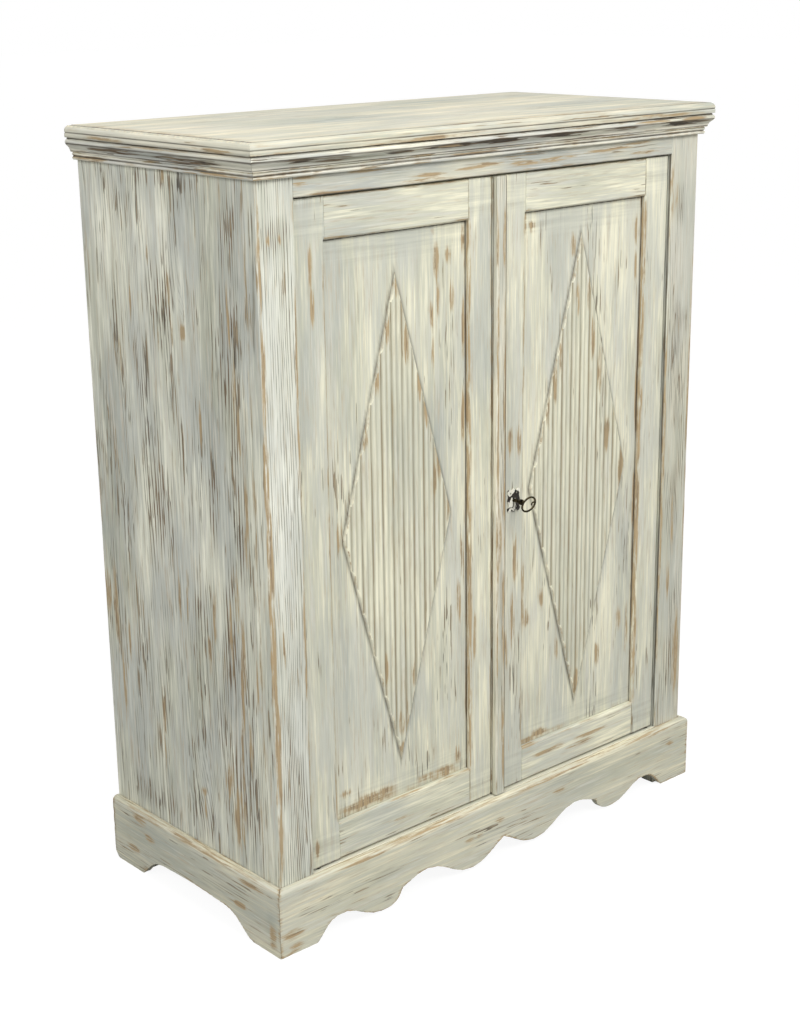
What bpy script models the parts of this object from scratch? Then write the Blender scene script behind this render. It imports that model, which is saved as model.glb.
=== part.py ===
"""A painted pine storage cabinet with two panelled doors, built as its separate pieces.

Metres, +Z up, +X to the right as seen from the front, +Y to the back. The world origin is on the
floor under the middle of the whole outline, which runs from the key's bow to the back boards.
Places inside the script are in the cabinet's own frame, whose Y is zero on the front frame's face.
"""

import math

import bmesh
import bpy
from mathutils import Matrix, Vector

# Clearances and small edges shared by all pieces
FIT_GAP = 0.0003
MITRE_GAP = 0.0004
ARRIS = 0.0010
JOINT_ARRIS = 0.0004
OVERRUN = 0.010
WELD = 0.000001

# Carcass
CARCASS_WIDTH = 0.930
CARCASS_DEPTH = 0.442
OVERALL_HEIGHT = 1.220
SIDE_THICKNESS = 0.022
TOP_THICKNESS = 0.018
TOP_OVERHANG = 0.019
TOP_EDGE_RADIUS = 0.009
FLOOR_THICKNESS = 0.020
FLOOR_DADO_DEPTH = 0.008
BACK_THICKNESS = 0.012
BACK_REBATE_WIDTH = 0.011
BACK_BOARD_LAP = 0.010
BACK_BOARD_COUNT = 4

# Front frame
FRAME_THICKNESS = 0.028
PILASTER_WIDTH = 0.066
FRIEZE_HEIGHT = 0.063
BOTTOM_RAIL_HEIGHT = 0.042
FRAME_TENON_LENGTH = 0.025
FRAME_TENON_THICKNESS = 0.010
FRAME_TENON_SHOULDER = 0.008

# Plinth
PLINTH_HEIGHT = 0.112
PLINTH_OVERHANG = 0.013
PLINTH_TOP_RADIUS = 0.008
CUSP_HEIGHT = 0.038
FIRST_LOBE_HEIGHT = 0.007
FIRST_VALLEY_HEIGHT = 0.042
STEP_TOP_HEIGHT = 0.029
STEP_FOOT_HEIGHT = 0.011
SECOND_LOBE_HEIGHT = 0.004
SECOND_VALLEY_HEIGHT = 0.031
FRONT_FOOT_WIDTH = 0.072
SIDE_FOOT_WIDTH = 0.071
REAR_FOOT_WIDTH = 0.084
SIDE_ARCH_HEIGHT = 0.036
REAR_FOOT_CORNER = 0.010
SIDE_BOARD_ARCH_HEIGHT = 0.050
SIDE_BOARD_ARCH_SETBACK = 0.006

# Cornice
CORNICE_HEIGHT = 0.034
CORNICE_REED_HEIGHT = 0.0058
CORNICE_REED_REACH = 0.0080
CORNICE_REED_SWELL = 0.0020
CORNICE_COVE_FOOT = 0.0105
CORNICE_COVE_HEAD = 0.0170
CORNICE_COVE_HEIGHT = 0.0110
CORNICE_COVE_SINK = 0.0016
CORNICE_NOSE_REACH = 0.0190
CORNICE_NOSE_HEIGHT = 0.0085
CORNICE_NOSE_SWELL = 0.0032

# Shelves
SHELF_THICKNESS = 0.018
SHELF_HEIGHTS = (0.450, 0.800)
SHELF_SETBACK = 0.050
SHELF_PLAY = 0.0007
CLEAT_WIDTH = 0.018
CLEAT_HEIGHT = 0.022

# Door stop and blocks
STOP_THICKNESS = 0.018
STOP_DROP = 0.017
STOP_RISE = 0.026
STOP_END_SETBACK = 0.020
BLOCK_SIZE = 0.029

# Doors
DOOR_THICKNESS = 0.022
DOOR_RECESS = 0.006
DOOR_GAP = 0.0020
DOOR_TOP_GAP = 0.0025
HINGE_STILE_WIDTH = 0.055
FREE_STILE_SHOWN = 0.050
TOP_RAIL_HEIGHT = 0.0615
LOWER_RAIL_HEIGHT = 0.062
HINGE_CORNER_RADIUS = 0.003
DOOR_TENON_LENGTH = 0.022
DOOR_TENON_SHOULDER = 0.011
PANEL_SETBACK = 0.0085
PANEL_THICKNESS = 0.009
PANEL_GROOVE_DEPTH = 0.008
PANEL_PLAY = 0.001
OPENING_CHAMFER = 0.0025
STRIP_WIDTH = 0.022
STRIP_PROUD = 0.010
STRIP_RADIUS = 0.003

# Reeded lozenges on the panels
LOZENGE_THICKNESS = 0.0042
LOZENGE_CHAMFER = 0.0045
LEFT_LOZENGE_WIDTH = 0.222
LEFT_LOZENGE_HEIGHT = 0.778
LEFT_LOZENGE_SHIFT = -0.0035
RIGHT_LOZENGE_WIDTH = 0.234
RIGHT_LOZENGE_HEIGHT = 0.812
RIGHT_LOZENGE_SHIFT = -0.0055
REED_PITCH = 0.0105
DEEP_GROOVE = 0.0026
SHALLOW_GROOVE = 0.0014
REED_STEPS = 4

# Pivots of the doors
PIVOT_INSET = 0.013
PIVOT_DEPTH = 0.007
PIN_RADIUS = 0.004
PIN_SEAT_LENGTH = 0.014
PIN_COLLAR_RADIUS = 0.0065
SOCKET_RADIUS = 0.007
SOCKET_HEIGHT = 0.012
SOCKET_FLOOR = 0.0025
RUNNING_GAP = 0.0003

# Lock, key and escutcheon
KEY_X = 0.036
KEY_HEIGHT = 0.618
KEY_REACH = 0.042
KEY_REST_ANGLE = math.radians(47)
KEY_SHAFT_RADIUS = 0.003
KEY_COLLAR_RADIUS = 0.0048
KEY_COLLAR_LENGTH = 0.0035
KEY_BIT_REACH = 0.011
KEY_BIT_LENGTH = 0.007
KEY_BIT_THICKNESS = 0.0025
BOW_WIDTH = 0.030
BOW_LENGTH = 0.026
BOW_WIRE = 0.0016
SCROLL_RADIUS = 0.0032
SCROLL_WIRE = 0.0013
KEYHOLE_PLAY = 0.0005
ESCUTCHEON_WIDTH = 0.028
ESCUTCHEON_HEIGHT = 0.039
ESCUTCHEON_THICKNESS = 0.0016
PIERCING_RADIUS = 0.0020
LOCK_WIDTH = 0.068
LOCK_HEIGHT = 0.054
LOCK_DEPTH = 0.016
LOCK_WALL = 0.002
LOCK_EDGE_INSET = 0.002
LOCK_DROP = 0.018
BOLT_RISE = 0.008
BOLT_HEIGHT = 0.012
BOLT_THICKNESS = 0.005
BOLT_OFFSET = 0.005
BOLT_THROW = 0.012
BOLT_TAIL = 0.008
BOLT_PLAY = 0.0004
NOTCH_WIDTH = 0.0100
NOTCH_DEPTH = 0.0042
KEEP_WIDTH = 0.026
KEEP_HEIGHT = 0.028
KEEP_WALL = 0.0025
KEEP_EDGE_INSET = 0.001
KEEP_PLAY = 0.0015

# Slide bolts on the left door
SLIDE_X = -0.037
SLIDE_PLATE_WIDTH = 0.026
SLIDE_PLATE_THICKNESS = 0.002
SLIDE_ROD_WIDTH = 0.008
SLIDE_ROD_DEPTH = 0.0052
SLIDE_ROD_LENGTH = 0.070
SLIDE_STAPLE_WIDTH = 0.014
SLIDE_STAPLE_LENGTH = 0.008
SLIDE_STAPLE_WALL = 0.002
SLIDE_STAPLE_MARGIN = 0.004
SLIDE_STANDOFF = 0.004
SLIDE_TRAVEL = 0.015
SLIDE_HOLE_PLAY = 0.0015
SLIDE_KNOB_RADIUS = 0.0038
SLIDE_KNOB_LENGTH = 0.007
SLIDE_PLATE_INSET = 0.008

# Places worked out from the sizes above
HALF_WIDTH = CARCASS_WIDTH / 2
INNER_HALF = HALF_WIDTH - SIDE_THICKNESS
OPENING_HALF = HALF_WIDTH - PILASTER_WIDTH
TOP_UNDERSIDE = OVERALL_HEIGHT - TOP_THICKNESS
BODY_TOP = TOP_UNDERSIDE - FIT_GAP
OPENING_TOP = TOP_UNDERSIDE - FRIEZE_HEIGHT
FLOOR_UNDERSIDE = PLINTH_HEIGHT - FLOOR_THICKNESS
BACK_FACE = CARCASS_DEPTH - BACK_THICKNESS
BEHIND_FRAME = FRAME_THICKNESS + FIT_GAP
DOOR_BACK = DOOR_RECESS + DOOR_THICKNESS
DOOR_BOTTOM = PLINTH_HEIGHT + DOOR_GAP
DOOR_TOP = OPENING_TOP - DOOR_TOP_GAP
PANEL_BOTTOM = DOOR_BOTTOM + LOWER_RAIL_HEIGHT
PANEL_TOP = DOOR_TOP - TOP_RAIL_HEIGHT
HINGE_EDGE = OPENING_HALF - DOOR_GAP
PANEL_OUTER = HINGE_EDGE - HINGE_STILE_WIDTH
PANEL_INNER = STRIP_WIDTH / 2 + FREE_STILE_SHOWN
PANEL_FACE = DOOR_RECESS + PANEL_SETBACK
PIVOT_X = HINGE_EDGE - PIVOT_INSET
PIVOT_Y = DOOR_RECESS + PIVOT_DEPTH
ON_DOOR_BACK = DOOR_BACK + FIT_GAP
BOLT_BOTTOM = KEY_HEIGHT + BOLT_RISE
BOLT_FRONT = ON_DOOR_BACK + BOLT_OFFSET
RIGHT_FREE_EDGE = -STRIP_WIDTH / 2
LEFT_FREE_EDGE = RIGHT_FREE_EDGE - DOOR_GAP
STOP_BOTTOM = OPENING_TOP - STOP_DROP
STOP_TOP = OPENING_TOP + STOP_RISE
SLIDE_PLATE_FACE = ON_DOOR_BACK + SLIDE_PLATE_THICKNESS
SLIDE_ROD_FRONT = SLIDE_PLATE_FACE + FIT_GAP * 2
SLIDE_ROD_BACK = SLIDE_ROD_FRONT + SLIDE_ROD_DEPTH
SLIDE_KNOB_WAY = SLIDE_TRAVEL + (SLIDE_KNOB_RADIUS + BOLT_PLAY) * 2
FRONT_FACE = -(CARCASS_DEPTH - KEY_REACH) / 2

# Shares of a piece's own sizes
KEY_TIP_SHARE = 0.8
FIRST_LOBE_SHARE = 0.155
FIRST_VALLEY_SHARE = 0.363
STEP_TOP_SHARE = 0.477
STEP_FOOT_SHARE = 0.505
SECOND_LOBE_SHARE = 0.572
SECOND_VALLEY_SHARE = 0.765
ARCH_SHARES = (
    (0.033, 0.09), (0.103, 0.53), (0.173, 0.86), (0.31, 1.00), (0.77, 1.00),
    (0.84, 0.93), (0.893, 0.78), (0.945, 0.45),
)
ESCUTCHEON_OUTLINE_SHARES = (
    (0.00, 1.00), (0.40, 0.84), (0.72, 0.97), (1.00, 0.74), (0.82, 0.38), (0.98, 0.00),
    (0.80, -0.40), (1.00, -0.76), (0.70, -0.97), (0.38, -0.84), (0.00, -1.00),
)
PIERCING_SHARES = ((0.52, 0.60), (0.52, -0.62))


def new_collection(name):
    """Make a collection in the scene."""
    collection = bpy.data.collections.new(name)
    bpy.context.scene.collection.children.link(collection)
    return collection


def principled(name, colour, roughness, metallic):
    """Make a plain material with a Principled BSDF."""
    material = bpy.data.materials.new(name)
    material.use_nodes = True
    shader = material.node_tree.nodes["Principled BSDF"]
    shader.inputs["Base Color"].default_value = (*colour, 1.0)
    shader.inputs["Roughness"].default_value = roughness
    shader.inputs["Metallic"].default_value = metallic
    material.diffuse_color = (*colour, 1.0)
    return material


def place_in_cabinet(empty):
    """Place of an empty in the cabinet's own frame."""
    place = Vector()
    while empty.parent:
        place += empty.location
        empty = empty.parent
    return place


class Workshop:
    """Holds the collections, the materials and the empties that the pieces hang on."""

    def __init__(self):
        for old in list(bpy.data.objects):
            bpy.data.objects.remove(old, do_unlink=True)
        self.parts = new_collection("storage_cabinet")
        self.cutters = new_collection("cutters")
        self.paint = principled("painted_pine", (0.70, 0.70, 0.60), 0.65, 0.0)
        self.bare = principled("bare_pine", (0.52, 0.36, 0.20), 0.75, 0.0)
        self.iron = principled("dark_iron", (0.10, 0.09, 0.07), 0.55, 0.85)
        self.bronze = principled("aged_bronze", (0.16, 0.12, 0.05), 0.45, 0.90)
        self.root = self.empty("cabinet", Vector((0.0, FRONT_FACE, 0.0)), None)
        self.left_door = self.empty("left_door", Vector((-PIVOT_X, PIVOT_Y, 0.0)), self.root)
        self.right_door = self.empty("right_door", Vector((PIVOT_X, PIVOT_Y, 0.0)), self.root)

    def empty(self, name, place, parent):
        """Add an empty at a place inside its parent."""
        holder = bpy.data.objects.new(name, None)
        holder.location = place
        holder.parent = parent
        self.parts.objects.link(holder)
        return holder

    def piece(self, name, mesh, place, finish, parent=None):
        """Add a visible piece at a place in the cabinet's frame."""
        holder = parent or self.root
        item = bpy.data.objects.new(name, mesh)
        item.data.materials.clear()
        item.data.materials.append(finish)
        item.parent = holder
        item.location = Vector(place) - place_in_cabinet(holder)
        self.parts.objects.link(item)
        return item

    def tool(self, name, mesh, place, parent=None):
        """Add a hidden cutter, or a solid that another piece is joined with."""
        item = self.piece(name, mesh, place, self.bare, parent)
        self.parts.objects.unlink(item)
        self.cutters.objects.link(item)
        item.hide_render = True
        item.display_type = "WIRE"
        return item


def combine(item, operation, *others):
    """Cut or join a piece with other solids."""
    for other in others:
        step = item.modifiers.new(operation.lower() + "_" + other.name, "BOOLEAN")
        step.operation = operation
        step.solver = "EXACT"
        step.object = other


def ease_edges(item, width):
    """Break the sharp edges of a piece."""
    step = item.modifiers.new("eased_edges", "BEVEL")
    step.width = width
    step.segments = 1
    step.limit_method = "ANGLE"
    step.angle_limit = math.radians(50)


def mesh_from(shape, name):
    """Turn a bmesh into a mesh and free it."""
    bmesh.ops.recalc_face_normals(shape, faces=shape.faces)
    mesh = bpy.data.meshes.new(name)
    shape.to_mesh(mesh)
    shape.free()
    return mesh


def span(low, high):
    """Centre and size of the box between two corners."""
    low = Vector(low)
    high = Vector(high)
    return (low + high) / 2, high - low


def box_mesh(name, size):
    """A box centred on its own origin."""
    shape = bmesh.new()
    bmesh.ops.create_cube(shape, size=1.0)
    bmesh.ops.scale(shape, vec=size, verts=shape.verts)
    return mesh_from(shape, name)


def bar_mesh(name, radius, length, turn=None, sides=24):
    """A round bar along Z, or along the axis that a turn brings it to."""
    shape = bmesh.new()
    bmesh.ops.create_cone(
        shape, cap_ends=True, segments=sides, radius1=radius, radius2=radius, depth=length
    )
    if turn:
        bmesh.ops.transform(shape, matrix=turn, verts=shape.verts)
    return mesh_from(shape, name)


def round_edges(mesh, chosen, radius, segments):
    """Round the edges of a mesh whose middle passes a test."""
    shape = bmesh.new()
    shape.from_mesh(mesh)
    picked = [edge for edge in shape.edges if chosen((edge.verts[0].co + edge.verts[1].co) / 2)]
    bmesh.ops.bevel(
        shape, geom=picked, offset=radius, segments=segments, profile=0.5, affect="EDGES"
    )
    shape.to_mesh(mesh)
    shape.free()


def board(shop, name, low, high, finish, parent=None, arris=ARRIS):
    """A board between two corners, with eased edges."""
    centre, size = span(low, high)
    item = shop.piece(name, box_mesh(name, size), centre, finish, parent)
    ease_edges(item, arris)
    return item


def box_tool(shop, name, low, high):
    """A hidden box between two corners."""
    centre, size = span(low, high)
    return shop.tool(name, box_mesh(name, size), centre)


def flat_outline(name, points, thickness, smooth):
    """A filled outline in the XY plane as a mesh; smooth outlines are Bezier, others are straight.

    Each point is (x, y), and in a smooth outline (x, y, kind) with kind AUTO or VECTOR.
    """
    curve = bpy.data.curves.new(name, "CURVE")
    curve.dimensions = "2D"
    curve.fill_mode = "BOTH"
    curve.extrude = thickness / 2
    curve.resolution_u = 5
    if smooth:
        spline = curve.splines.new("BEZIER")
        spline.bezier_points.add(len(points) - 1)
        for knot, (x, y, kind) in zip(spline.bezier_points, points):
            knot.co = (x, y, 0.0)
            knot.handle_left_type = kind
            knot.handle_right_type = kind
    else:
        spline = curve.splines.new("POLY")
        spline.points.add(len(points) - 1)
        for knot, (x, y) in zip(spline.points, points):
            knot.co = (x, y, 0.0, 1.0)
    spline.use_cyclic_u = True
    return mesh_of_curve(curve)


def mesh_of_curve(curve):
    """Turn a curve into a welded mesh without needless edges, and remove the curve."""
    drawn = bpy.data.objects.new(curve.name, curve)
    bpy.context.scene.collection.objects.link(drawn)
    graph = bpy.context.evaluated_depsgraph_get()
    mesh = bpy.data.meshes.new_from_object(drawn.evaluated_get(graph))
    bpy.data.objects.remove(drawn, do_unlink=True)
    shape = bmesh.new()
    shape.from_mesh(mesh)
    bmesh.ops.remove_doubles(shape, verts=shape.verts, dist=WELD)
    flat = math.radians(0.2)
    bmesh.ops.dissolve_limit(shape, angle_limit=flat, verts=shape.verts, edges=shape.edges)
    bmesh.ops.recalc_face_normals(shape, faces=shape.faces)
    shape.to_mesh(mesh)
    shape.free()
    return mesh


def facing_front():
    """Turn that stands an outline drawn in XY up on the XZ plane."""
    return Matrix.Rotation(math.radians(90), 4, "X")


def facing_side():
    """Turn that stands an outline drawn in XY up on the YZ plane, its x along Y."""
    return Matrix.Rotation(math.radians(90), 4, "Z") @ Matrix.Rotation(math.radians(90), 4, "X")


def arc(centre, reach, rise, start, end, steps):
    """Points of an elliptic arc, from one angle in degrees to another."""
    points = []
    for step in range(steps + 1):
        angle = math.radians(start + (end - start) * step / steps)
        points.append((centre[0] + reach * math.cos(angle), centre[1] + rise * math.sin(angle)))
    return points


def turned(shop, name, profile, place, finish, parent, sides=24):
    """A turned piece about Z from a profile of (radius, height) that runs down its outer side."""
    shape = bmesh.new()
    knots = [shape.verts.new((radius, 0.0, height)) for radius, height in profile]
    for first, second in zip(knots, knots[1:]):
        shape.edges.new((first, second))
    mesh = bpy.data.meshes.new(name)
    shape.to_mesh(mesh)
    shape.free()
    item = shop.piece(name, mesh, place, finish, parent)
    lathe = item.modifiers.new("lathe", "SCREW")
    lathe.steps = sides
    lathe.render_steps = sides
    lathe.use_merge_vertices = True
    lathe.merge_threshold = WELD
    return item


def mirrored(side, low, high):
    """Corners of a box given for the right side, for the side named by -1 or 1."""
    if side > 0:
        return low, high
    return (-high[0], low[1], low[2]), (-low[0], high[1], high[2])


def loosened(low, high):
    """Corners of a box with the fitting gap added all round."""
    play = Vector((FIT_GAP, FIT_GAP, FIT_GAP))
    return Vector(low) - play, Vector(high) + play


def side_name(side):
    """Word for a side."""
    return "right" if side > 0 else "left"


def arch_points(start, length, height):
    """Smooth knots of an arched lower edge, from its front end to its rear end."""
    points = [(start, 0.0, "VECTOR")]
    for along, up in ARCH_SHARES:
        points.append((start + along * length, up * height, "AUTO"))
    points.append((start + length, 0.0, "VECTOR"))
    return points


def make_side_board(shop, side):
    """Full-depth side board with a rebate for the back, a dado for the floor and an arched foot."""
    word = side_name(side)
    low, high = (INNER_HALF, BEHIND_FRAME, 0.0), (HALF_WIDTH, CARCASS_DEPTH, BODY_TOP)
    item = board(shop, word + "_side_board", *mirrored(side, low, high), shop.paint)
    low, high = mirrored(
        side,
        (INNER_HALF - OVERRUN, BACK_FACE - FIT_GAP, -OVERRUN),
        (INNER_HALF + BACK_REBATE_WIDTH, CARCASS_DEPTH + OVERRUN, OVERALL_HEIGHT),
    )
    rebate = box_tool(shop, word + "_rebate", low, high)
    low, high = mirrored(
        side,
        (INNER_HALF - OVERRUN, 0.0, FLOOR_UNDERSIDE - FIT_GAP),
        (INNER_HALF + FLOOR_DADO_DEPTH, BACK_FACE, PLINTH_HEIGHT + FIT_GAP),
    )
    dado = box_tool(shop, word + "_dado", low, high)
    start = SIDE_FOOT_WIDTH - PLINTH_OVERHANG - SIDE_BOARD_ARCH_SETBACK
    end = CARCASS_DEPTH - REAR_FOOT_WIDTH + SIDE_BOARD_ARCH_SETBACK
    points = [(start, -OVERRUN, "VECTOR")]
    points += arch_points(start, end - start, SIDE_BOARD_ARCH_HEIGHT)
    points.append((end, -OVERRUN, "VECTOR"))
    mesh = flat_outline(word + "_arch", points, SIDE_THICKNESS + OVERRUN * 2, True)
    mesh.transform(facing_side())
    middle = side * (INNER_HALF + SIDE_THICKNESS / 2)
    arch = shop.tool(word + "_arch", mesh, (middle, 0.0, 0.0))
    combine(item, "DIFFERENCE", rebate, dado, arch)


def make_pilaster(shop, side, mortises):
    """Flat pilaster of the front frame, down to the floor, with mortises for the rails."""
    low, high = mirrored(side, (OPENING_HALF, 0.0, 0.0), (HALF_WIDTH, FRAME_THICKNESS, BODY_TOP))
    item = board(shop, side_name(side) + "_pilaster", low, high, shop.paint)
    combine(item, "DIFFERENCE", *mortises)


def frame_rail(shop, name, bottom, top, finish):
    """Rail of the front frame with a tenon at each end; returns the rail and its mortise cutter."""
    half = OPENING_HALF - FIT_GAP
    low = (-half, 0.0, bottom)
    rail = board(shop, name, low, (half, FRAME_THICKNESS, top), finish, arris=JOINT_ARRIS)
    reach = OPENING_HALF + FRAME_TENON_LENGTH
    front = (FRAME_THICKNESS - FRAME_TENON_THICKNESS) / 2
    low = Vector((-reach, front, bottom + FRAME_TENON_SHOULDER))
    high = Vector((reach, front + FRAME_TENON_THICKNESS, top - FRAME_TENON_SHOULDER))
    combine(rail, "UNION", box_tool(shop, name + "_tenons", low, high))
    return rail, box_tool(shop, name + "_mortises", *loosened(low, high))


def make_front_frame(shop, socket_seats):
    """Two pilasters, the frieze rail over the doors and the bottom rail behind the plinth."""
    frieze, upper_mortises = frame_rail(shop, "frieze_rail", OPENING_TOP, BODY_TOP, shop.paint)
    combine(frieze, "DIFFERENCE", *socket_seats)
    top = FLOOR_UNDERSIDE - FIT_GAP
    lower_mortises = frame_rail(shop, "bottom_rail", top - BOTTOM_RAIL_HEIGHT, top, shop.bare)[1]
    for side in (-1, 1):
        make_pilaster(shop, side, (upper_mortises, lower_mortises))


def make_floor_board(shop, cuts):
    """Floor board, housed in the side boards and notched round the pilasters."""
    wide = INNER_HALF + FLOOR_DADO_DEPTH - FIT_GAP
    back = BACK_FACE - FIT_GAP * 2
    low = (-wide, 0.0, FLOOR_UNDERSIDE)
    item = board(shop, "floor_board", low, (wide, back, PLINTH_HEIGHT), shop.bare)
    notches = []
    for side in (-1, 1):
        low, high = mirrored(
            side,
            (OPENING_HALF - FIT_GAP, -OVERRUN, FLOOR_UNDERSIDE - OVERRUN),
            (wide + OVERRUN, BEHIND_FRAME, PLINTH_HEIGHT + OVERRUN),
        )
        notches.append(box_tool(shop, side_name(side) + "_notch", low, high))
    combine(item, "DIFFERENCE", *notches, *cuts)


def make_top_board(shop):
    """Top board with a rounded upper edge on the front and the sides."""
    low = (-HALF_WIDTH - TOP_OVERHANG, -TOP_OVERHANG, TOP_UNDERSIDE)
    high = (HALF_WIDTH + TOP_OVERHANG, CARCASS_DEPTH, OVERALL_HEIGHT)
    centre, size = span(low, high)
    mesh = box_mesh("top_board", size)

    def on_moulded_edge(middle):
        """True on the upper edges of the front and the sides."""
        upper = middle.z > size.z / 4
        return upper and (middle.y < -size.y / 4 or abs(middle.x) > size.x / 4)

    round_edges(mesh, on_moulded_edge, TOP_EDGE_RADIUS, 4)
    shop.piece("top_board", mesh, centre, shop.paint)


def sagging(start, end, sink, steps):
    """Points between two ends of a hollow moulding, sunk in the middle."""
    run = Vector(end) - Vector(start)
    inward = Vector((-run.y, run.x)).normalized()
    points = []
    for step in range(1, steps):
        share = step / steps
        points.append(tuple(Vector(start) + run * share + inward * sink * 4 * share * (1 - share)))
    return points


def cornice_profile():
    """Cornice section as (reach from the carcass, height under the top board): reeds, cove, nose."""
    points = [(FIT_GAP, -CORNICE_HEIGHT)]
    level = -CORNICE_HEIGHT
    for first in (0, 1):
        middle = (CORNICE_REED_REACH - CORNICE_REED_SWELL, level + CORNICE_REED_HEIGHT / 2)
        points += arc(middle, CORNICE_REED_SWELL, CORNICE_REED_HEIGHT / 2, -90, 90, 4)[first:]
        level += CORNICE_REED_HEIGHT
    foot = (CORNICE_COVE_FOOT, level)
    head = (CORNICE_COVE_HEAD, level + CORNICE_COVE_HEIGHT)
    points += [foot, *sagging(foot, head, CORNICE_COVE_SINK, 4), head]
    nose = (CORNICE_NOSE_REACH - CORNICE_NOSE_SWELL, head[1] + CORNICE_NOSE_HEIGHT / 2)
    points += arc(nose, CORNICE_NOSE_SWELL, CORNICE_NOSE_HEIGHT / 2, -60, 90, 5)
    points += [(nose[0], -FIT_GAP), (FIT_GAP, -FIT_GAP)]
    return points


def mitred_run(name, profile, half_length, mitre_low, mitre_high):
    """A moulding along X that reaches to -Y; a mitred end grows by the reach at each point."""
    mesh = flat_outline(name, profile, half_length * 2, False)
    mesh.transform(Matrix.Rotation(math.radians(-90), 4, "Z") @ facing_front())
    for vertex in mesh.vertices:
        if mitre_high and vertex.co.x > 0:
            vertex.co.x += -vertex.co.y
        elif mitre_low and vertex.co.x < 0:
            vertex.co.x -= -vertex.co.y
    return mesh


def make_cornice(shop):
    """Cornice moulding in three runs, mitred at the front corners."""
    profile = cornice_profile()
    front = mitred_run("cornice_front", profile, HALF_WIDTH - MITRE_GAP, True, True)
    shop.piece("cornice_front", front, (0.0, 0.0, TOP_UNDERSIDE), shop.paint)
    for side in (-1, 1):
        name = "cornice_" + side_name(side)
        run = mitred_run(name, profile, CARCASS_DEPTH / 2, side > 0, side < 0)
        run.transform(Matrix.Rotation(math.radians(90 * side), 4, "Z"))
        shop.piece(name, run, (side * HALF_WIDTH, CARCASS_DEPTH / 2, TOP_UNDERSIDE), shop.paint)


def apron_points():
    """Lower edge of the front plinth from the middle to the right foot, as smooth knots."""
    foot = HALF_WIDTH + PLINTH_OVERHANG
    return [
        (FIRST_LOBE_SHARE * foot, FIRST_LOBE_HEIGHT, "AUTO"),
        (FIRST_VALLEY_SHARE * foot, FIRST_VALLEY_HEIGHT, "AUTO"),
        (STEP_TOP_SHARE * foot, STEP_TOP_HEIGHT, "VECTOR"),
        (STEP_FOOT_SHARE * foot, STEP_FOOT_HEIGHT, "AUTO"),
        (SECOND_LOBE_SHARE * foot, SECOND_LOBE_HEIGHT, "AUTO"),
        (SECOND_VALLEY_SHARE * foot, SECOND_VALLEY_HEIGHT, "AUTO"),
        (foot - FRONT_FOOT_WIDTH, 0.0, "VECTOR"),
        (foot, 0.0, "VECTOR"),
    ]


def mitre_back(mesh, half, ends):
    """Draw the end corners on the back face of a plinth board in, at the ends named by -1 and 1."""
    for vertex in mesh.vertices:
        end = math.copysign(1, vertex.co.x)
        if end in ends and abs(vertex.co.x) > half - WELD and vertex.co.y > 0:
            vertex.co.x = end * (half - 2 * vertex.co.y)


def make_plinth_front(shop):
    """Scalloped plinth board across the front, its upper edge rounded and its ends mitred."""
    half = HALF_WIDTH + PLINTH_OVERHANG
    right = apron_points()
    points = [(-x, z, kind) for x, z, kind in reversed(right)]
    points.append((0.0, CUSP_HEIGHT, "VECTOR"))
    points += right
    points += [(half, PLINTH_HEIGHT, "VECTOR"), (-half, PLINTH_HEIGHT, "VECTOR")]
    thickness = PLINTH_OVERHANG - FIT_GAP
    mesh = flat_outline("plinth_front", points, thickness, True)
    mesh.transform(facing_front())
    mitre_back(mesh, half, (-1, 1))
    round_upper_edge(mesh)
    shop.piece("plinth_front", mesh, (0.0, -PLINTH_OVERHANG + thickness / 2, 0.0), shop.paint)


def round_upper_edge(mesh):
    """Round the upper outer edge of a plinth board that faces -Y."""

    def on_upper_edge(middle):
        """True on the upper edge of the outer face."""
        return middle.z > PLINTH_HEIGHT - WELD and middle.y < -WELD

    round_edges(mesh, on_upper_edge, PLINTH_TOP_RADIUS, 4)


def make_plinth_side(shop, side):
    """Plinth board along a side, arched between its two feet, square at the back."""
    length = CARCASS_DEPTH + PLINTH_OVERHANG - MITRE_GAP
    half = length / 2
    start = -half + SIDE_FOOT_WIDTH
    opening = length - SIDE_FOOT_WIDTH - REAR_FOOT_WIDTH
    points = [(-half, PLINTH_HEIGHT, "VECTOR"), (-half, 0.0, "VECTOR")]
    points += arch_points(start, opening, SIDE_ARCH_HEIGHT)
    points += [
        (half - REAR_FOOT_CORNER, 0.0, "VECTOR"),
        (half, REAR_FOOT_CORNER, "VECTOR"),
        (half, PLINTH_HEIGHT, "VECTOR"),
    ]
    if side < 0:
        points = [(-x, z, kind) for x, z, kind in points]
    thickness = PLINTH_OVERHANG - FIT_GAP
    name = "plinth_" + side_name(side)
    mesh = flat_outline(name, points, thickness, True)
    mesh.transform(facing_front())
    mitre_back(mesh, half, (-side,))
    round_upper_edge(mesh)
    mesh.transform(Matrix.Rotation(math.radians(90 * side), 4, "Z"))
    centre = side * (HALF_WIDTH + PLINTH_OVERHANG - thickness / 2)
    shop.piece(name, mesh, (centre, CARCASS_DEPTH - half, 0.0), shop.paint)


def lapped_outline(width, lap_left, lap_right):
    """Plan of a back board whose long edges are halved to lap over their neighbours."""
    edge = width / 2
    skin = BACK_THICKNESS / 2
    step = FIT_GAP / 2
    left = [(-edge, -skin), (-edge, skin)]
    if lap_left:
        shoulder = -edge + BACK_BOARD_LAP + step
        left = [(shoulder, -skin), (shoulder, step), (-edge + step, step), (-edge + step, skin)]
    right = [(edge, skin), (edge, -skin)]
    if lap_right:
        shoulder = edge - BACK_BOARD_LAP - step
        right = [(shoulder, skin), (shoulder, -step), (edge - step, -step), (edge - step, -skin)]
    return left + right


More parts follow.
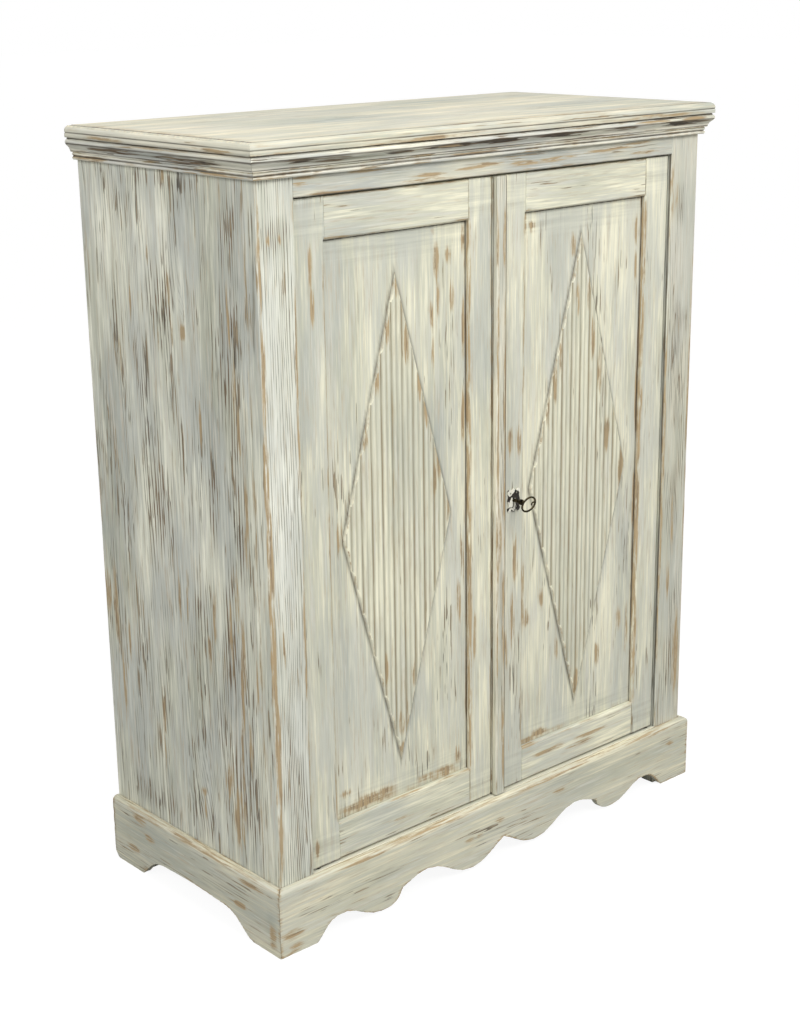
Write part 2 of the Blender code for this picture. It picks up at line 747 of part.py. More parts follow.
def make_back_boards(shop):
    """Upright back boards, half-lapped at their edges and set in the side boards' rebates."""
    reach = INNER_HALF + BACK_REBATE_WIDTH - FIT_GAP
    pitch = (2 * reach - BACK_BOARD_LAP) / BACK_BOARD_COUNT
    bottom = FLOOR_UNDERSIDE - BOTTOM_RAIL_HEIGHT
    level = (BODY_TOP + bottom) / 2
    for number in range(BACK_BOARD_COUNT):
        outline = lapped_outline(pitch + BACK_BOARD_LAP, number > 0, number < BACK_BOARD_COUNT - 1)
        name = "back_board_" + str(number + 1)
        mesh = flat_outline(name, outline, BODY_TOP - bottom, False)
        middle = -reach + BACK_BOARD_LAP / 2 + pitch * (number + 0.5)
        shop.piece(name, mesh, (middle, BACK_FACE + BACK_THICKNESS / 2, level), shop.bare)


def make_shelves(shop):
    """Two shelves, each on a cleat at either side."""
    for number, height in enumerate(SHELF_HEIGHTS, start=1):
        half = INNER_HALF - SHELF_PLAY
        back = BACK_FACE - SHELF_PLAY
        low = (-half, SHELF_SETBACK, height)
        board(shop, "shelf_" + str(number), low, (half, back, height + SHELF_THICKNESS), shop.bare)
        for side in (-1, 1):
            top = height - FIT_GAP
            low, high = mirrored(
                side,
                (INNER_HALF - CLEAT_WIDTH, SHELF_SETBACK, top - CLEAT_HEIGHT),
                (INNER_HALF - FIT_GAP, back, top),
            )
            board(shop, "shelf_cleat_" + str(number) + "_" + side_name(side), low, high, shop.bare)


def make_stop_and_blocks(shop, bolt_notch):
    """Door stop on the back of the frieze rail, and blocks in the front corners under the floor."""
    half = PIVOT_X - STOP_END_SETBACK
    low = (-half, BEHIND_FRAME, STOP_BOTTOM)
    stop = board(shop, "door_stop", low, (half, BEHIND_FRAME + STOP_THICKNESS, STOP_TOP), shop.bare)
    combine(stop, "DIFFERENCE", bolt_notch)
    top = FLOOR_UNDERSIDE - FIT_GAP
    for side in (-1, 1):
        low, high = mirrored(
            side,
            (INNER_HALF - BLOCK_SIZE, BEHIND_FRAME, top - BOTTOM_RAIL_HEIGHT),
            (INNER_HALF - FIT_GAP, BEHIND_FRAME + BLOCK_SIZE, top),
        )
        board(shop, "corner_block_" + side_name(side), low, high, shop.bare)


def pivot_places():
    """Ends of a hinge stile: name, door's edge, carcass face and direction from edge to face."""
    return (("bottom", DOOR_BOTTOM, PLINTH_HEIGHT, -1), ("top", DOOR_TOP, OPENING_TOP, 1))


def make_pivots(shop, side, parent):
    """Iron pin at each end of a hinge stile, turning in an iron cup; returns the pins' holes."""
    holes = []
    for end, edge, face, outward in pivot_places():
        name = side_name(side) + "_" + end
        place = (side * PIVOT_X, PIVOT_Y, 0.0)
        seat = edge - outward * PIN_SEAT_LENGTH
        collar_near = edge + outward * FIT_GAP
        collar_far = face - outward * FIT_GAP
        floor = face + outward * (SOCKET_HEIGHT - SOCKET_FLOOR)
        tip = floor - outward * FIT_GAP
        pin = [
            (0.0, seat), (PIN_RADIUS, seat), (PIN_RADIUS, collar_near),
            (PIN_COLLAR_RADIUS, collar_near), (PIN_COLLAR_RADIUS, collar_far),
            (PIN_RADIUS, collar_far), (PIN_RADIUS, tip), (0.0, tip),
        ]
        bore = PIN_RADIUS + RUNNING_GAP
        base = face + outward * SOCKET_HEIGHT
        cup = [(0.0, floor), (bore, floor), (bore, face), (SOCKET_RADIUS, face)]
        cup += [(SOCKET_RADIUS, base), (0.0, base)]
        if outward > 0:
            pin.reverse()
            cup.reverse()
        turned(shop, name + "_pivot_pin", pin, place, shop.iron, parent)
        turned(shop, name + "_pivot_socket", cup, place, shop.iron, shop.root)
        depth = PIN_SEAT_LENGTH + FIT_GAP + OVERRUN
        mesh = bar_mesh(name + "_pin_hole", PIN_RADIUS + FIT_GAP, depth)
        middle = edge - outward * (PIN_SEAT_LENGTH + FIT_GAP - depth / 2)
        holes.append(shop.tool(name + "_pin_hole", mesh, (side * PIVOT_X, PIVOT_Y, middle)))
    return holes


def make_socket_seats(shop):
    """Cutters of the seats that hold the pivot cups, by the end of the door."""
    seats = {"bottom": [], "top": []}
    for side in (-1, 1):
        for end, _edge, face, outward in pivot_places():
            depth = SOCKET_HEIGHT + FIT_GAP + OVERRUN
            name = side_name(side) + "_" + end + "_socket_seat"
            mesh = bar_mesh(name, SOCKET_RADIUS + FIT_GAP, depth)
            middle = face + outward * (SOCKET_HEIGHT + FIT_GAP - depth / 2)
            seats[end].append(shop.tool(name, mesh, (side * PIVOT_X, PIVOT_Y, middle)))
    return seats


def opening_chamfer_mesh(name, width, height):
    """A shallow tapered block that chamfers the four frame edges round a panel."""
    shape = bmesh.new()
    bmesh.ops.create_cube(shape, size=1.0)
    depth = OPENING_CHAMFER + OVERRUN
    bmesh.ops.scale(shape, vec=(width, depth, height), verts=shape.verts)
    for vertex in shape.verts:
        if vertex.co.y < 0:
            vertex.co.x += math.copysign(depth, vertex.co.x)
            vertex.co.z += math.copysign(depth, vertex.co.z)
    return mesh_from(shape, name)


def make_door_frame(shop, side, parent, pin_holes):
    """Stiles, rails and panel of one door; returns the free stile."""
    word = side_name(side)
    free_edge = RIGHT_FREE_EDGE if side > 0 else -LEFT_FREE_EDGE
    inner = PANEL_INNER
    outer = PANEL_OUTER

    def corners(x_low, x_high, y_low, y_high, z_low, z_high):
        """Corners of a box given as for the right door."""
        return mirrored(side, (x_low, y_low, z_low), (x_high, y_high, z_high))

    groove_front = PANEL_FACE - FIT_GAP
    groove_back = PANEL_FACE + PANEL_THICKNESS + FIT_GAP
    deep = PANEL_GROOVE_DEPTH
    low, high = corners(
        inner - deep, outer + deep, groove_front, groove_back, PANEL_BOTTOM - deep, PANEL_TOP + deep
    )
    groove = box_tool(shop, word + "_panel_groove", low, high)
    centre = (side * (inner + outer) / 2, DOOR_RECESS + (OPENING_CHAMFER - OVERRUN) / 2)
    mesh = opening_chamfer_mesh(word + "_chamfer", outer - inner, PANEL_TOP - PANEL_BOTTOM)
    chamfer = shop.tool(word + "_chamfer", mesh, (*centre, (PANEL_TOP + PANEL_BOTTOM) / 2))

    mortises = []
    for name, bottom, top in (
        ("_top_rail", PANEL_TOP, DOOR_TOP),
        ("_bottom_rail", DOOR_BOTTOM, PANEL_BOTTOM),
    ):
        low, high = corners(inner + FIT_GAP, outer - FIT_GAP, DOOR_RECESS, DOOR_BACK, bottom, top)
        rail = board(shop, word + name, low, high, shop.paint, parent)
        low, high = corners(
            inner - DOOR_TENON_LENGTH, outer + DOOR_TENON_LENGTH,
            PANEL_FACE, PANEL_FACE + PANEL_THICKNESS,
            bottom + DOOR_TENON_SHOULDER, top - DOOR_TENON_SHOULDER,
        )
        combine(rail, "UNION", box_tool(shop, word + name + "_tenons", low, high))
        combine(rail, "DIFFERENCE", groove, chamfer)
        low, high = loosened(low, high)
        mortises.append(box_tool(shop, word + name + "_mortises", low, high))

    low, high = corners(outer, HINGE_EDGE, DOOR_RECESS, DOOR_BACK, DOOR_BOTTOM, DOOR_TOP)
    middle, size = span(low, high)
    mesh = box_mesh(word + "_hinge_stile", size)

    def on_swinging_edge(point):
        """True on the upright front edge beside the pilaster."""
        return point.y < -size.y / 4 and point.x * side > size.x / 4 and abs(point.z) < size.z / 4

    round_edges(mesh, on_swinging_edge, HINGE_CORNER_RADIUS, 4)
    hinge_stile = shop.piece(word + "_hinge_stile", mesh, middle, shop.paint, parent)
    combine(hinge_stile, "DIFFERENCE", groove, chamfer, *mortises, *pin_holes)

    low, high = corners(free_edge, inner, DOOR_RECESS, DOOR_BACK, DOOR_BOTTOM, DOOR_TOP)
    free_stile = board(shop, word + "_free_stile", low, high, shop.paint, parent)
    combine(free_stile, "DIFFERENCE", groove, chamfer, *mortises)

    reach = PANEL_GROOVE_DEPTH - PANEL_PLAY
    low, high = corners(
        inner - reach, outer + reach, PANEL_FACE, PANEL_FACE + PANEL_THICKNESS,
        PANEL_BOTTOM - reach, PANEL_TOP + reach,
    )
    board(shop, word + "_panel", low, high, shop.paint, parent)
    return free_stile


def reeded_slab_mesh(name, width, height):
    """A slab with upright reeds on its front, every second groove deeper."""
    count = 2 * math.ceil(width / REED_PITCH / 2)
    points = []
    for reed in range(count):
        left_depth = DEEP_GROOVE if reed % 2 == 0 else SHALLOW_GROOVE
        right_depth = SHALLOW_GROOVE if reed % 2 == 0 else DEEP_GROOVE
        for step in range(REED_STEPS):
            share = step / REED_STEPS
            depth = (left_depth if share < 0.5 else right_depth) * (1 - math.sin(math.pi * share))
            points.append(((reed + share - count / 2) * REED_PITCH, LOZENGE_THICKNESS - depth))
    points.append((count / 2 * REED_PITCH, LOZENGE_THICKNESS - DEEP_GROOVE))
    points += [(count / 2 * REED_PITCH, -OVERRUN), (-count / 2 * REED_PITCH, -OVERRUN)]
    mesh = flat_outline(name, points, height + OVERRUN, False)
    mesh.transform(Matrix.Rotation(math.radians(180), 4, "X"))
    return mesh


def make_lozenge(shop, side, parent):
    """Tall reeded lozenge on a panel, chamfered all round."""
    name = side_name(side) + "_lozenge"
    width = RIGHT_LOZENGE_WIDTH if side > 0 else LEFT_LOZENGE_WIDTH
    height = RIGHT_LOZENGE_HEIGHT if side > 0 else LEFT_LOZENGE_HEIGHT
    shift = RIGHT_LOZENGE_SHIFT if side > 0 else LEFT_LOZENGE_SHIFT
    shape = bmesh.new()
    bmesh.ops.create_cone(shape, cap_ends=True, segments=4, radius1=1.0, radius2=1.0, depth=1.0)
    slope = math.atan2(height, width)
    inset_x = LOZENGE_CHAMFER / math.sin(slope)
    inset_z = LOZENGE_CHAMFER / math.cos(slope)
    for vertex in shape.verts:
        at_front = vertex.co.z > 0
        half_x = width / 2 - (inset_x if at_front else 0.0)
        half_z = height / 2 - (inset_z if at_front else 0.0)
        depth = LOZENGE_THICKNESS if at_front else 0.0
        vertex.co = Vector((round(vertex.co.x) * half_x, -depth, round(vertex.co.y) * half_z))
    middle_x = side * (PANEL_INNER + PANEL_OUTER) / 2 + shift
    place = (middle_x, PANEL_FACE - FIT_GAP, (PANEL_TOP + PANEL_BOTTOM) / 2)
    item = shop.piece(name, mesh_from(shape, name), place, shop.paint, parent)
    reeds = shop.tool(name + "_reeds", reeded_slab_mesh(name + "_reeds", width, height), place)
    combine(item, "INTERSECT", reeds)


def make_meeting_strip(shop, parent):
    """Rounded strip on the right door's free edge, covering the gap between the doors."""
    low = (RIGHT_FREE_EDGE, DOOR_RECESS - STRIP_PROUD, DOOR_BOTTOM)
    high = (RIGHT_FREE_EDGE + STRIP_WIDTH, DOOR_RECESS - FIT_GAP, DOOR_TOP)
    middle, size = span(low, high)
    mesh = box_mesh("meeting_strip", size)

    def on_front_edge(point):
        """True on the two upright front edges."""
        return point.y < -size.y / 4 and abs(point.x) > size.x / 4

    round_edges(mesh, on_front_edge, STRIP_RADIUS, 3)
    shop.piece("meeting_strip", mesh, middle, shop.paint, parent)


def keyhole_tool(shop, name, front, back):
    """Cutter of a keyhole: a round hole with a slot below it."""
    slot = KEY_BIT_THICKNESS / 2 + KEYHOLE_PLAY
    drop = KEY_BIT_REACH + KEYHOLE_PLAY
    mesh = bar_mesh(name, KEY_SHAFT_RADIUS + KEYHOLE_PLAY, back - front, facing_front())
    hole = shop.tool(name, mesh, (KEY_X, (front + back) / 2, KEY_HEIGHT))
    low = (KEY_X - slot, front, KEY_HEIGHT - drop)
    combine(hole, "UNION", box_tool(shop, name + "_slot", low, (KEY_X + slot, back, KEY_HEIGHT)))
    return hole


def make_escutcheon(shop, parent):
    """Small pierced iron plate round the keyhole."""
    points = []
    for x, z in ESCUTCHEON_OUTLINE_SHARES:
        points.append((x * ESCUTCHEON_WIDTH / 2, z * ESCUTCHEON_HEIGHT / 2, "AUTO"))
    for x, z in reversed(ESCUTCHEON_OUTLINE_SHARES[1:-1]):
        points.append((-x * ESCUTCHEON_WIDTH / 2, z * ESCUTCHEON_HEIGHT / 2, "AUTO"))
    mesh = flat_outline("escutcheon", points, ESCUTCHEON_THICKNESS, True)
    mesh.transform(facing_front())
    front = DOOR_RECESS - FIT_GAP - ESCUTCHEON_THICKNESS
    place = (KEY_X, front + ESCUTCHEON_THICKNESS / 2, KEY_HEIGHT)
    item = shop.piece("escutcheon", mesh, place, shop.iron, parent)
    keyhole = keyhole_tool(shop, "escutcheon_keyhole", front - OVERRUN, DOOR_RECESS)
    piercings = []
    for x, z in PIERCING_SHARES:
        for hand in (-1, 1):
            name = "piercing_" + str(len(piercings) + 1)
            depth = ESCUTCHEON_THICKNESS + OVERRUN
            mesh = bar_mesh(name, PIERCING_RADIUS, depth, facing_front(), 12)
            across = KEY_X + hand * x * ESCUTCHEON_WIDTH / 2
            up = KEY_HEIGHT + z * ESCUTCHEON_HEIGHT / 2
            piercings.append(shop.tool(name, mesh, (across, place[1], up)))
    combine(item, "DIFFERENCE", keyhole, *piercings)


def make_lock(shop, parent, free_stile):
    """Iron rim lock on the back of the right door's free stile: its case and its sliding bolt."""
    left = RIGHT_FREE_EDGE + LOCK_EDGE_INSET
    bottom = KEY_HEIGHT - LOCK_DROP
    back = ON_DOOR_BACK + LOCK_DEPTH
    low = (left, ON_DOOR_BACK, bottom)
    high = (left + LOCK_WIDTH, back, bottom + LOCK_HEIGHT)
    case = board(shop, "lock_case", low, high, shop.iron, parent)
    inside = box_tool(
        shop, "lock_inside",
        (left + LOCK_WALL, ON_DOOR_BACK - OVERRUN, bottom + LOCK_WALL),
        (left + LOCK_WIDTH - LOCK_WALL, back - LOCK_WALL, bottom + LOCK_HEIGHT - LOCK_WALL),
    )
    slot = box_tool(
        shop, "lock_slot",
        (left - OVERRUN, BOLT_FRONT - BOLT_PLAY, BOLT_BOTTOM - BOLT_PLAY),
        (
            left + LOCK_WALL + OVERRUN,
            BOLT_FRONT + BOLT_THICKNESS + BOLT_PLAY,
            BOLT_BOTTOM + BOLT_HEIGHT + BOLT_PLAY,
        ),
    )
    depth = LOCK_WALL + OVERRUN
    mesh = bar_mesh("key_end_hole", KEY_SHAFT_RADIUS + RUNNING_GAP, depth, facing_front())
    end_hole = shop.tool("key_end_hole", mesh, (KEY_X, back - LOCK_WALL / 2, KEY_HEIGHT))
    combine(case, "DIFFERENCE", inside, slot, end_hole)
    keyhole = keyhole_tool(shop, "stile_keyhole", DOOR_RECESS - OVERRUN, DOOR_BACK + OVERRUN)
    combine(free_stile, "DIFFERENCE", keyhole)

    notch_middle = KEY_X + BOLT_THROW / 2
    tail = notch_middle + NOTCH_WIDTH / 2 + BOLT_TAIL
    low = (left + LOCK_WALL / 2, BOLT_FRONT, BOLT_BOTTOM)
    high = (tail, BOLT_FRONT + BOLT_THICKNESS, BOLT_BOTTOM + BOLT_HEIGHT)
    centre, size = span(low, high)
    bolt = shop.piece("lock_bolt", box_mesh("lock_bolt", size), centre, shop.iron, parent)
    half_notch = NOTCH_WIDTH / 2
    notch = box_tool(
        shop, "bolt_notch",
        (notch_middle - half_notch, BOLT_FRONT - OVERRUN, BOLT_BOTTOM - OVERRUN),
        (notch_middle + half_notch, high[1] + OVERRUN, BOLT_BOTTOM + NOTCH_DEPTH),
    )
    combine(bolt, "DIFFERENCE", notch)


def make_keep(shop, parent):
    """Iron keep on the back of the left door, which the lock's bolt is thrown into."""
    right = LEFT_FREE_EDGE - KEEP_EDGE_INSET
    middle = BOLT_BOTTOM + BOLT_HEIGHT / 2
    bottom = middle - KEEP_HEIGHT / 2
    top = middle + KEEP_HEIGHT / 2
    back = ON_DOOR_BACK + LOCK_DEPTH
    low = (right - KEEP_WIDTH, ON_DOOR_BACK, bottom)
    keep = board(shop, "lock_keep", low, (right, back, top), shop.iron, parent)
    pocket = box_tool(
        shop, "keep_pocket",
        (right - KEEP_WIDTH + KEEP_WALL, BOLT_FRONT - KEEP_PLAY, BOLT_BOTTOM - KEEP_PLAY),
        (
            right + OVERRUN,
            BOLT_FRONT + BOLT_THICKNESS + KEEP_PLAY,
            BOLT_BOTTOM + BOLT_HEIGHT + KEEP_PLAY,
        ),
    )
    combine(keep, "DIFFERENCE", pocket)


def on_slide_line(width, front, back, centre, length):
    """Corners of a box centred on the line that both slide bolts share."""
    low = (SLIDE_X - width / 2, front, centre - length / 2)
    return low, (SLIDE_X + width / 2, back, centre + length / 2)


def make_slide_bolt(shop, name, parent, end, outward):
    """Slide bolt on the back of the left door: a plate with two staples, and a rod with a knob.

    The rod's free end is at the height end and slides outward, 1 for up and -1 for down, until
    the knob, which rests against the inner staple, meets the outer one.
    """
    staple_pitch = SLIDE_KNOB_WAY + SLIDE_STAPLE_LENGTH
    plate_length = staple_pitch + SLIDE_STAPLE_LENGTH + SLIDE_STAPLE_MARGIN * 2
    middle = end - outward * (SLIDE_PLATE_INSET + plate_length / 2)
    low, high = on_slide_line(SLIDE_PLATE_WIDTH, ON_DOOR_BACK, SLIDE_PLATE_FACE, middle, plate_length)
    plate = board(shop, name + "_plate", low, high, shop.iron, parent, arris=JOINT_ARRIS)
    staple_front = SLIDE_PLATE_FACE - SLIDE_PLATE_THICKNESS / 2
    staple_back = SLIDE_ROD_BACK + BOLT_PLAY + SLIDE_STAPLE_WALL
    for label, hand in (("outer", outward), ("inner", -outward)):
        centre = middle + hand * staple_pitch / 2
        corners = on_slide_line(
            SLIDE_STAPLE_WIDTH, staple_front, staple_back, centre, SLIDE_STAPLE_LENGTH
        )
        combine(plate, "UNION", box_tool(shop, name + "_staple_" + label, *corners))
    corners = on_slide_line(
        SLIDE_ROD_WIDTH + BOLT_PLAY * 2, SLIDE_ROD_FRONT - FIT_GAP, SLIDE_ROD_BACK + BOLT_PLAY,
        middle, plate_length + OVERRUN,
    )
    combine(plate, "DIFFERENCE", box_tool(shop, name + "_channel", *corners))

    rod_middle = end - outward * SLIDE_ROD_LENGTH / 2
    low, high = on_slide_line(
        SLIDE_ROD_WIDTH, SLIDE_ROD_FRONT, SLIDE_ROD_BACK, rod_middle, SLIDE_ROD_LENGTH
    )
    rod = board(shop, name, low, high, shop.iron, parent, arris=JOINT_ARRIS)
    knob_level = middle - outward * SLIDE_TRAVEL / 2
    knob_length = SLIDE_ROD_DEPTH / 2 + SLIDE_KNOB_LENGTH
    mesh = bar_mesh(name + "_knob", SLIDE_KNOB_RADIUS, knob_length, facing_front(), 16)
    knob_middle = SLIDE_ROD_BACK + SLIDE_KNOB_LENGTH - knob_length / 2
    knob = shop.tool(name + "_knob", mesh, (SLIDE_X, knob_middle, knob_level))
    combine(rod, "UNION", knob)


def slide_bolt_hole(shop, name, bottom, top, front):
    """Cutter of the place that a slide bolt's end enters."""
    half = SLIDE_ROD_WIDTH / 2 + SLIDE_HOLE_PLAY
    back = SLIDE_ROD_BACK + SLIDE_HOLE_PLAY
    return box_tool(shop, name, (SLIDE_X - half, front, bottom), (SLIDE_X + half, back, top))


def wire_mesh(name, knots, radius, closed):
    """A round wire through points of the XZ plane, as a mesh."""
    curve = bpy.data.curves.new(name, "CURVE")
    curve.dimensions = "3D"
    curve.bevel_depth = radius
    curve.bevel_resolution = 1
    curve.use_fill_caps = True
    spline = curve.splines.new("POLY")
    spline.points.add(len(knots) - 1)
    for knot, (x, z) in zip(spline.points, knots):
        knot.co = (x, 0.0, z, 1.0)
    spline.use_cyclic_u = closed
    return mesh_of_curve(curve)


def make_key(shop, door):
    """Key in the lock: a turned shaft with a collar, an oval bow with a curl in it, and a bit.

    Its own Z runs along the shaft towards the bow, and its X lies in the plane of bow and bit.
    """
    place = Vector((KEY_X, 0.0, KEY_HEIGHT))
    axis = shop.empty("key_axis", place - place_in_cabinet(door), door)
    axis.rotation_mode = "ZYX"
    axis.rotation_euler = (math.radians(90), 0.0, KEY_REST_ANGLE)

    bow_centre = KEY_REACH - BOW_LENGTH / 2
    half_wide = BOW_WIDTH / 2 - BOW_WIRE
    half_long = BOW_LENGTH / 2 - BOW_WIRE
    start = bow_centre - half_long
    collar = start - KEY_COLLAR_LENGTH
    collar_foot = collar - KEY_COLLAR_LENGTH
    tip = -(ON_DOOR_BACK + LOCK_DEPTH - LOCK_WALL / 2)
    tip_radius = KEY_SHAFT_RADIUS * KEY_TIP_SHARE
    profile = [
        (0.0, start), (tip_radius, start), (tip_radius, collar), (KEY_COLLAR_RADIUS, collar),
        (KEY_COLLAR_RADIUS, collar_foot), (KEY_SHAFT_RADIUS, collar_foot),
        (KEY_SHAFT_RADIUS, tip + KEY_SHAFT_RADIUS), (tip_radius, tip), (0.0, tip),
    ]
    key = turned(shop, "key", profile, place, shop.bronze, axis, sides=16)
    ring = arc((0.0, bow_centre), half_wide, half_long, 0, 345, 23)
    bow = shop.tool("key_bow", wire_mesh("key_bow", ring, BOW_WIRE, True), place, axis)
    curl_centre = (SCROLL_RADIUS, bow_centre + half_long - SCROLL_RADIUS)
    curl = arc(curl_centre, SCROLL_RADIUS, SCROLL_RADIUS, 100, -150, 8)
    scroll = shop.tool("key_scroll", wire_mesh("key_scroll", curl, SCROLL_WIRE, False), place, axis)
    bit_middle = BOLT_FRONT + BOLT_THICKNESS / 2
    size = Vector((KEY_BIT_REACH, KEY_BIT_THICKNESS, KEY_BIT_LENGTH))
    mesh = box_mesh("key_bit", size)
    mesh.transform(Matrix.Translation((KEY_BIT_REACH / 2, 0.0, -bit_middle)))
    bit = shop.tool("key_bit", mesh, place, axis)
    combine(key, "UNION", bow, scroll, bit)


def main():
    """Build the cabinet."""
    shop = Workshop()
    seats = make_socket_seats(shop)
    stop_notch = slide_bolt_hole(
        shop, "stop_notch", STOP_BOTTOM - OVERRUN, STOP_TOP + OVERRUN, BEHIND_FRAME - OVERRUN
    )
    floor_hole = slide_bolt_hole(
        shop, "floor_hole", FLOOR_UNDERSIDE - OVERRUN, PLINTH_HEIGHT + OVERRUN,
        SLIDE_ROD_FRONT - SLIDE_HOLE_PLAY,
    )
    for side in (-1, 1):
        make_side_board(shop, side)
        make_plinth_side(shop, side)
    make_front_frame(shop, seats["top"])
    make_floor_board(shop, [*seats["bottom"], floor_hole])
    make_top_board(shop)
    make_cornice(shop)
    make_plinth_front(shop)
    make_back_boards(shop)
    make_shelves(shop)
    make_stop_and_blocks(shop, stop_notch)

    free_stiles = {}
    for side, door in ((-1, shop.left_door), (1, shop.right_door)):
        pin_holes = make_pivots(shop, side, door)
        free_stiles[side] = make_door_frame(shop, side, door, pin_holes)
        make_lozenge(shop, side, door)
    make_meeting_strip(shop, shop.right_door)
    make_escutcheon(shop, shop.right_door)
    make_lock(shop, shop.right_door, free_stiles[1])
    make_key(shop, shop.right_door)
    make_keep(shop, shop.left_door)
    make_slide_bolt(shop, "top_bolt", shop.left_door, STOP_BOTTOM - SLIDE_STANDOFF, 1)
    make_slide_bolt(shop, "bottom_bolt", shop.left_door, PLINTH_HEIGHT + SLIDE_STANDOFF, -1)


main()
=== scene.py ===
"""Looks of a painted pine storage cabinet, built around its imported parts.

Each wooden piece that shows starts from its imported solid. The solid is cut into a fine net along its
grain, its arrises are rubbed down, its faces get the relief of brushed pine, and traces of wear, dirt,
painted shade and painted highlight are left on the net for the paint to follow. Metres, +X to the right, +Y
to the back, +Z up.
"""

from __future__ import annotations

import logging
import math
from bisect import bisect_right
from collections.abc import Callable
from dataclasses import dataclass, field
from enum import Enum

import bmesh
import bpy
import numpy as np
from mathutils import Matrix, Vector
from mathutils.kdtree import KDTree


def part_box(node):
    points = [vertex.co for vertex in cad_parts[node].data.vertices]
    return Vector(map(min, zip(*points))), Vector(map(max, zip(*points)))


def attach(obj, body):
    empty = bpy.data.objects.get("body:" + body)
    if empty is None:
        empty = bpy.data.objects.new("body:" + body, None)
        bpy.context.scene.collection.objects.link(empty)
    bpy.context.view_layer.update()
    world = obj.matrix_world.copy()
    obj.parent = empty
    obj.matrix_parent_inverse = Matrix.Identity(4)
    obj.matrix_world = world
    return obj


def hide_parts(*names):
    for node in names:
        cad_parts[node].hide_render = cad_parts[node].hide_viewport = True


LOG = logging.getLogger("cabinet")

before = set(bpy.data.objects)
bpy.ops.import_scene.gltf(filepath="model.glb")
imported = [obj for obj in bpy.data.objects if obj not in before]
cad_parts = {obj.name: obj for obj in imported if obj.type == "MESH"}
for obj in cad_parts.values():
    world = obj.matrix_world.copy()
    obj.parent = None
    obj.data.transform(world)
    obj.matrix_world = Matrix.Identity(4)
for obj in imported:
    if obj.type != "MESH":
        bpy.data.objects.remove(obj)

MM = 0.001
MARK_DEPTH = 0.080
FACE_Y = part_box("left_pilaster")[0].y
HALF_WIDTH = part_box("right_pilaster")[1].x
TROUGH_SLOPE = 1.6

Socket = bpy.types.NodeSocket
Triple = tuple[float, float, float]
Colour = Triple
Number = Socket | float
Places = tuple[tuple[float, ...], ...]


class Axis(Enum):
    """A direction of the frame."""

    X = 0
    Y = 1
    Z = 2


class Side(Enum):
    """A side of the cabinet, as seen from the front."""

    LEFT = -1
    RIGHT = 1

    @property
    def word(self) -> str:
        """The side's name in the names of nodes."""
        return self.name.lower()


class Trace(Enum):
    """What a mark leaves on the paint."""

    WORN = "worn"
    DARK = "dark"
    # Pale paint, and in places a painted highlight.
    PALE = "pale"
    GREY = "grey"
    CROSS = "cross"


FRONT = Vector((0.0, -1.0, 0.0))
LEFT = Vector((-1.0, 0.0, 0.0))
RIGHT = Vector((1.0, 0.0, 0.0))
UP = Vector((0.0, 0.0, 1.0))
DOWN = Vector((0.0, 0.0, -1.0))


@dataclass(frozen=True)
class Mark:
    """An oval trace on the faces that turn one way: wear, a change of tone, or in places a painted highlight.

    Attributes:
        trace: What the mark leaves.
        facing: Direction of the faces that carry it.
        at: Its middle in the frame.
        reach: Its half sizes along X, Y and Z.
        strength: How strongly it shows.
    """

    trace: Trace
    facing: Vector
    at: Triple
    reach: Triple
    strength: float = 1.0

    TURN = 1.6

    def strengths(self, places: np.ndarray, normals: np.ndarray) -> np.ndarray:
        """How strongly the mark shows at each point.

        Args:
            places: Points of the net.
            normals: Their normals.

        Returns:
            One value for each point.
        """
        offset = (places - np.array(self.at)) / np.array(self.reach)
        shape = np.clip(1.0 - np.sum(offset * offset, axis=1), 0.0, 1.0)
        upward = np.clip(normals[:, 2], 0.0, 1.0)
        turned = np.clip(self.TURN * normals @ np.array(self.facing) + upward, 0.0, 1.0)
        return shape * turned * self.strength


def on_front(trace: Trace, x: float, z: float, wide: float, high: float, strength: float = 1.0) -> Mark:
    """Make a mark on the front from its middle and half sizes in millimetres.

    Args:
        trace: What the mark leaves.
        x: Place across the front.
        z: Height.
        wide: Half width.
        high: Half height.
        strength: How strongly it shows.

    Returns:
        The mark in the frame.
    """
    return Mark(trace, FRONT, (x * MM, FACE_Y, z * MM), (wide * MM, MARK_DEPTH, high * MM), strength)


def on_flank(trace: Trace, y: float, z: float, deep: float, high: float, strength: float = 1.0) -> Mark:
    """Make a mark on the left side from its middle and half sizes in millimetres.

    Args:
        trace: What the mark leaves.
        y: Distance behind the front frame's face.
        z: Height.
        deep: Half length from front to back.
        high: Half height.
        strength: How strongly it shows.

    Returns:
        The mark in the frame.
    """
    at = (-HALF_WIDTH, FACE_Y + y * MM, z * MM)
    return Mark(trace, LEFT, at, (MARK_DEPTH, deep * MM, high * MM), strength)


def grouped(make: Callable[..., Mark], *groups: tuple[Trace, float, Places]) -> tuple[Mark, ...]:
    """Make marks in groups that share a trace and a strength.

    Args:
        make: Makes one mark, on the front or on the flank.
        groups: A trace, a strength and the places, each a middle and half sizes in millimetres.

    Returns:
        The marks.
    """
    return tuple(make(trace, *place, strength) for trace, strength, places in groups for place in places)


def groove_levels(level: float, half: float) -> list[float]:
    """Both edges and the middle of a groove."""
    return [level + half * step for step in (-1.0, 0.0, 1.0)]


def trough(distances: np.ndarray, half: float) -> np.ndarray:
    """Share of a groove's depth at distances from its middle, flat at the bottom."""
    return np.clip(TROUGH_SLOPE - TROUGH_SLOPE * np.abs(distances) / half, 0.0, 1.0)


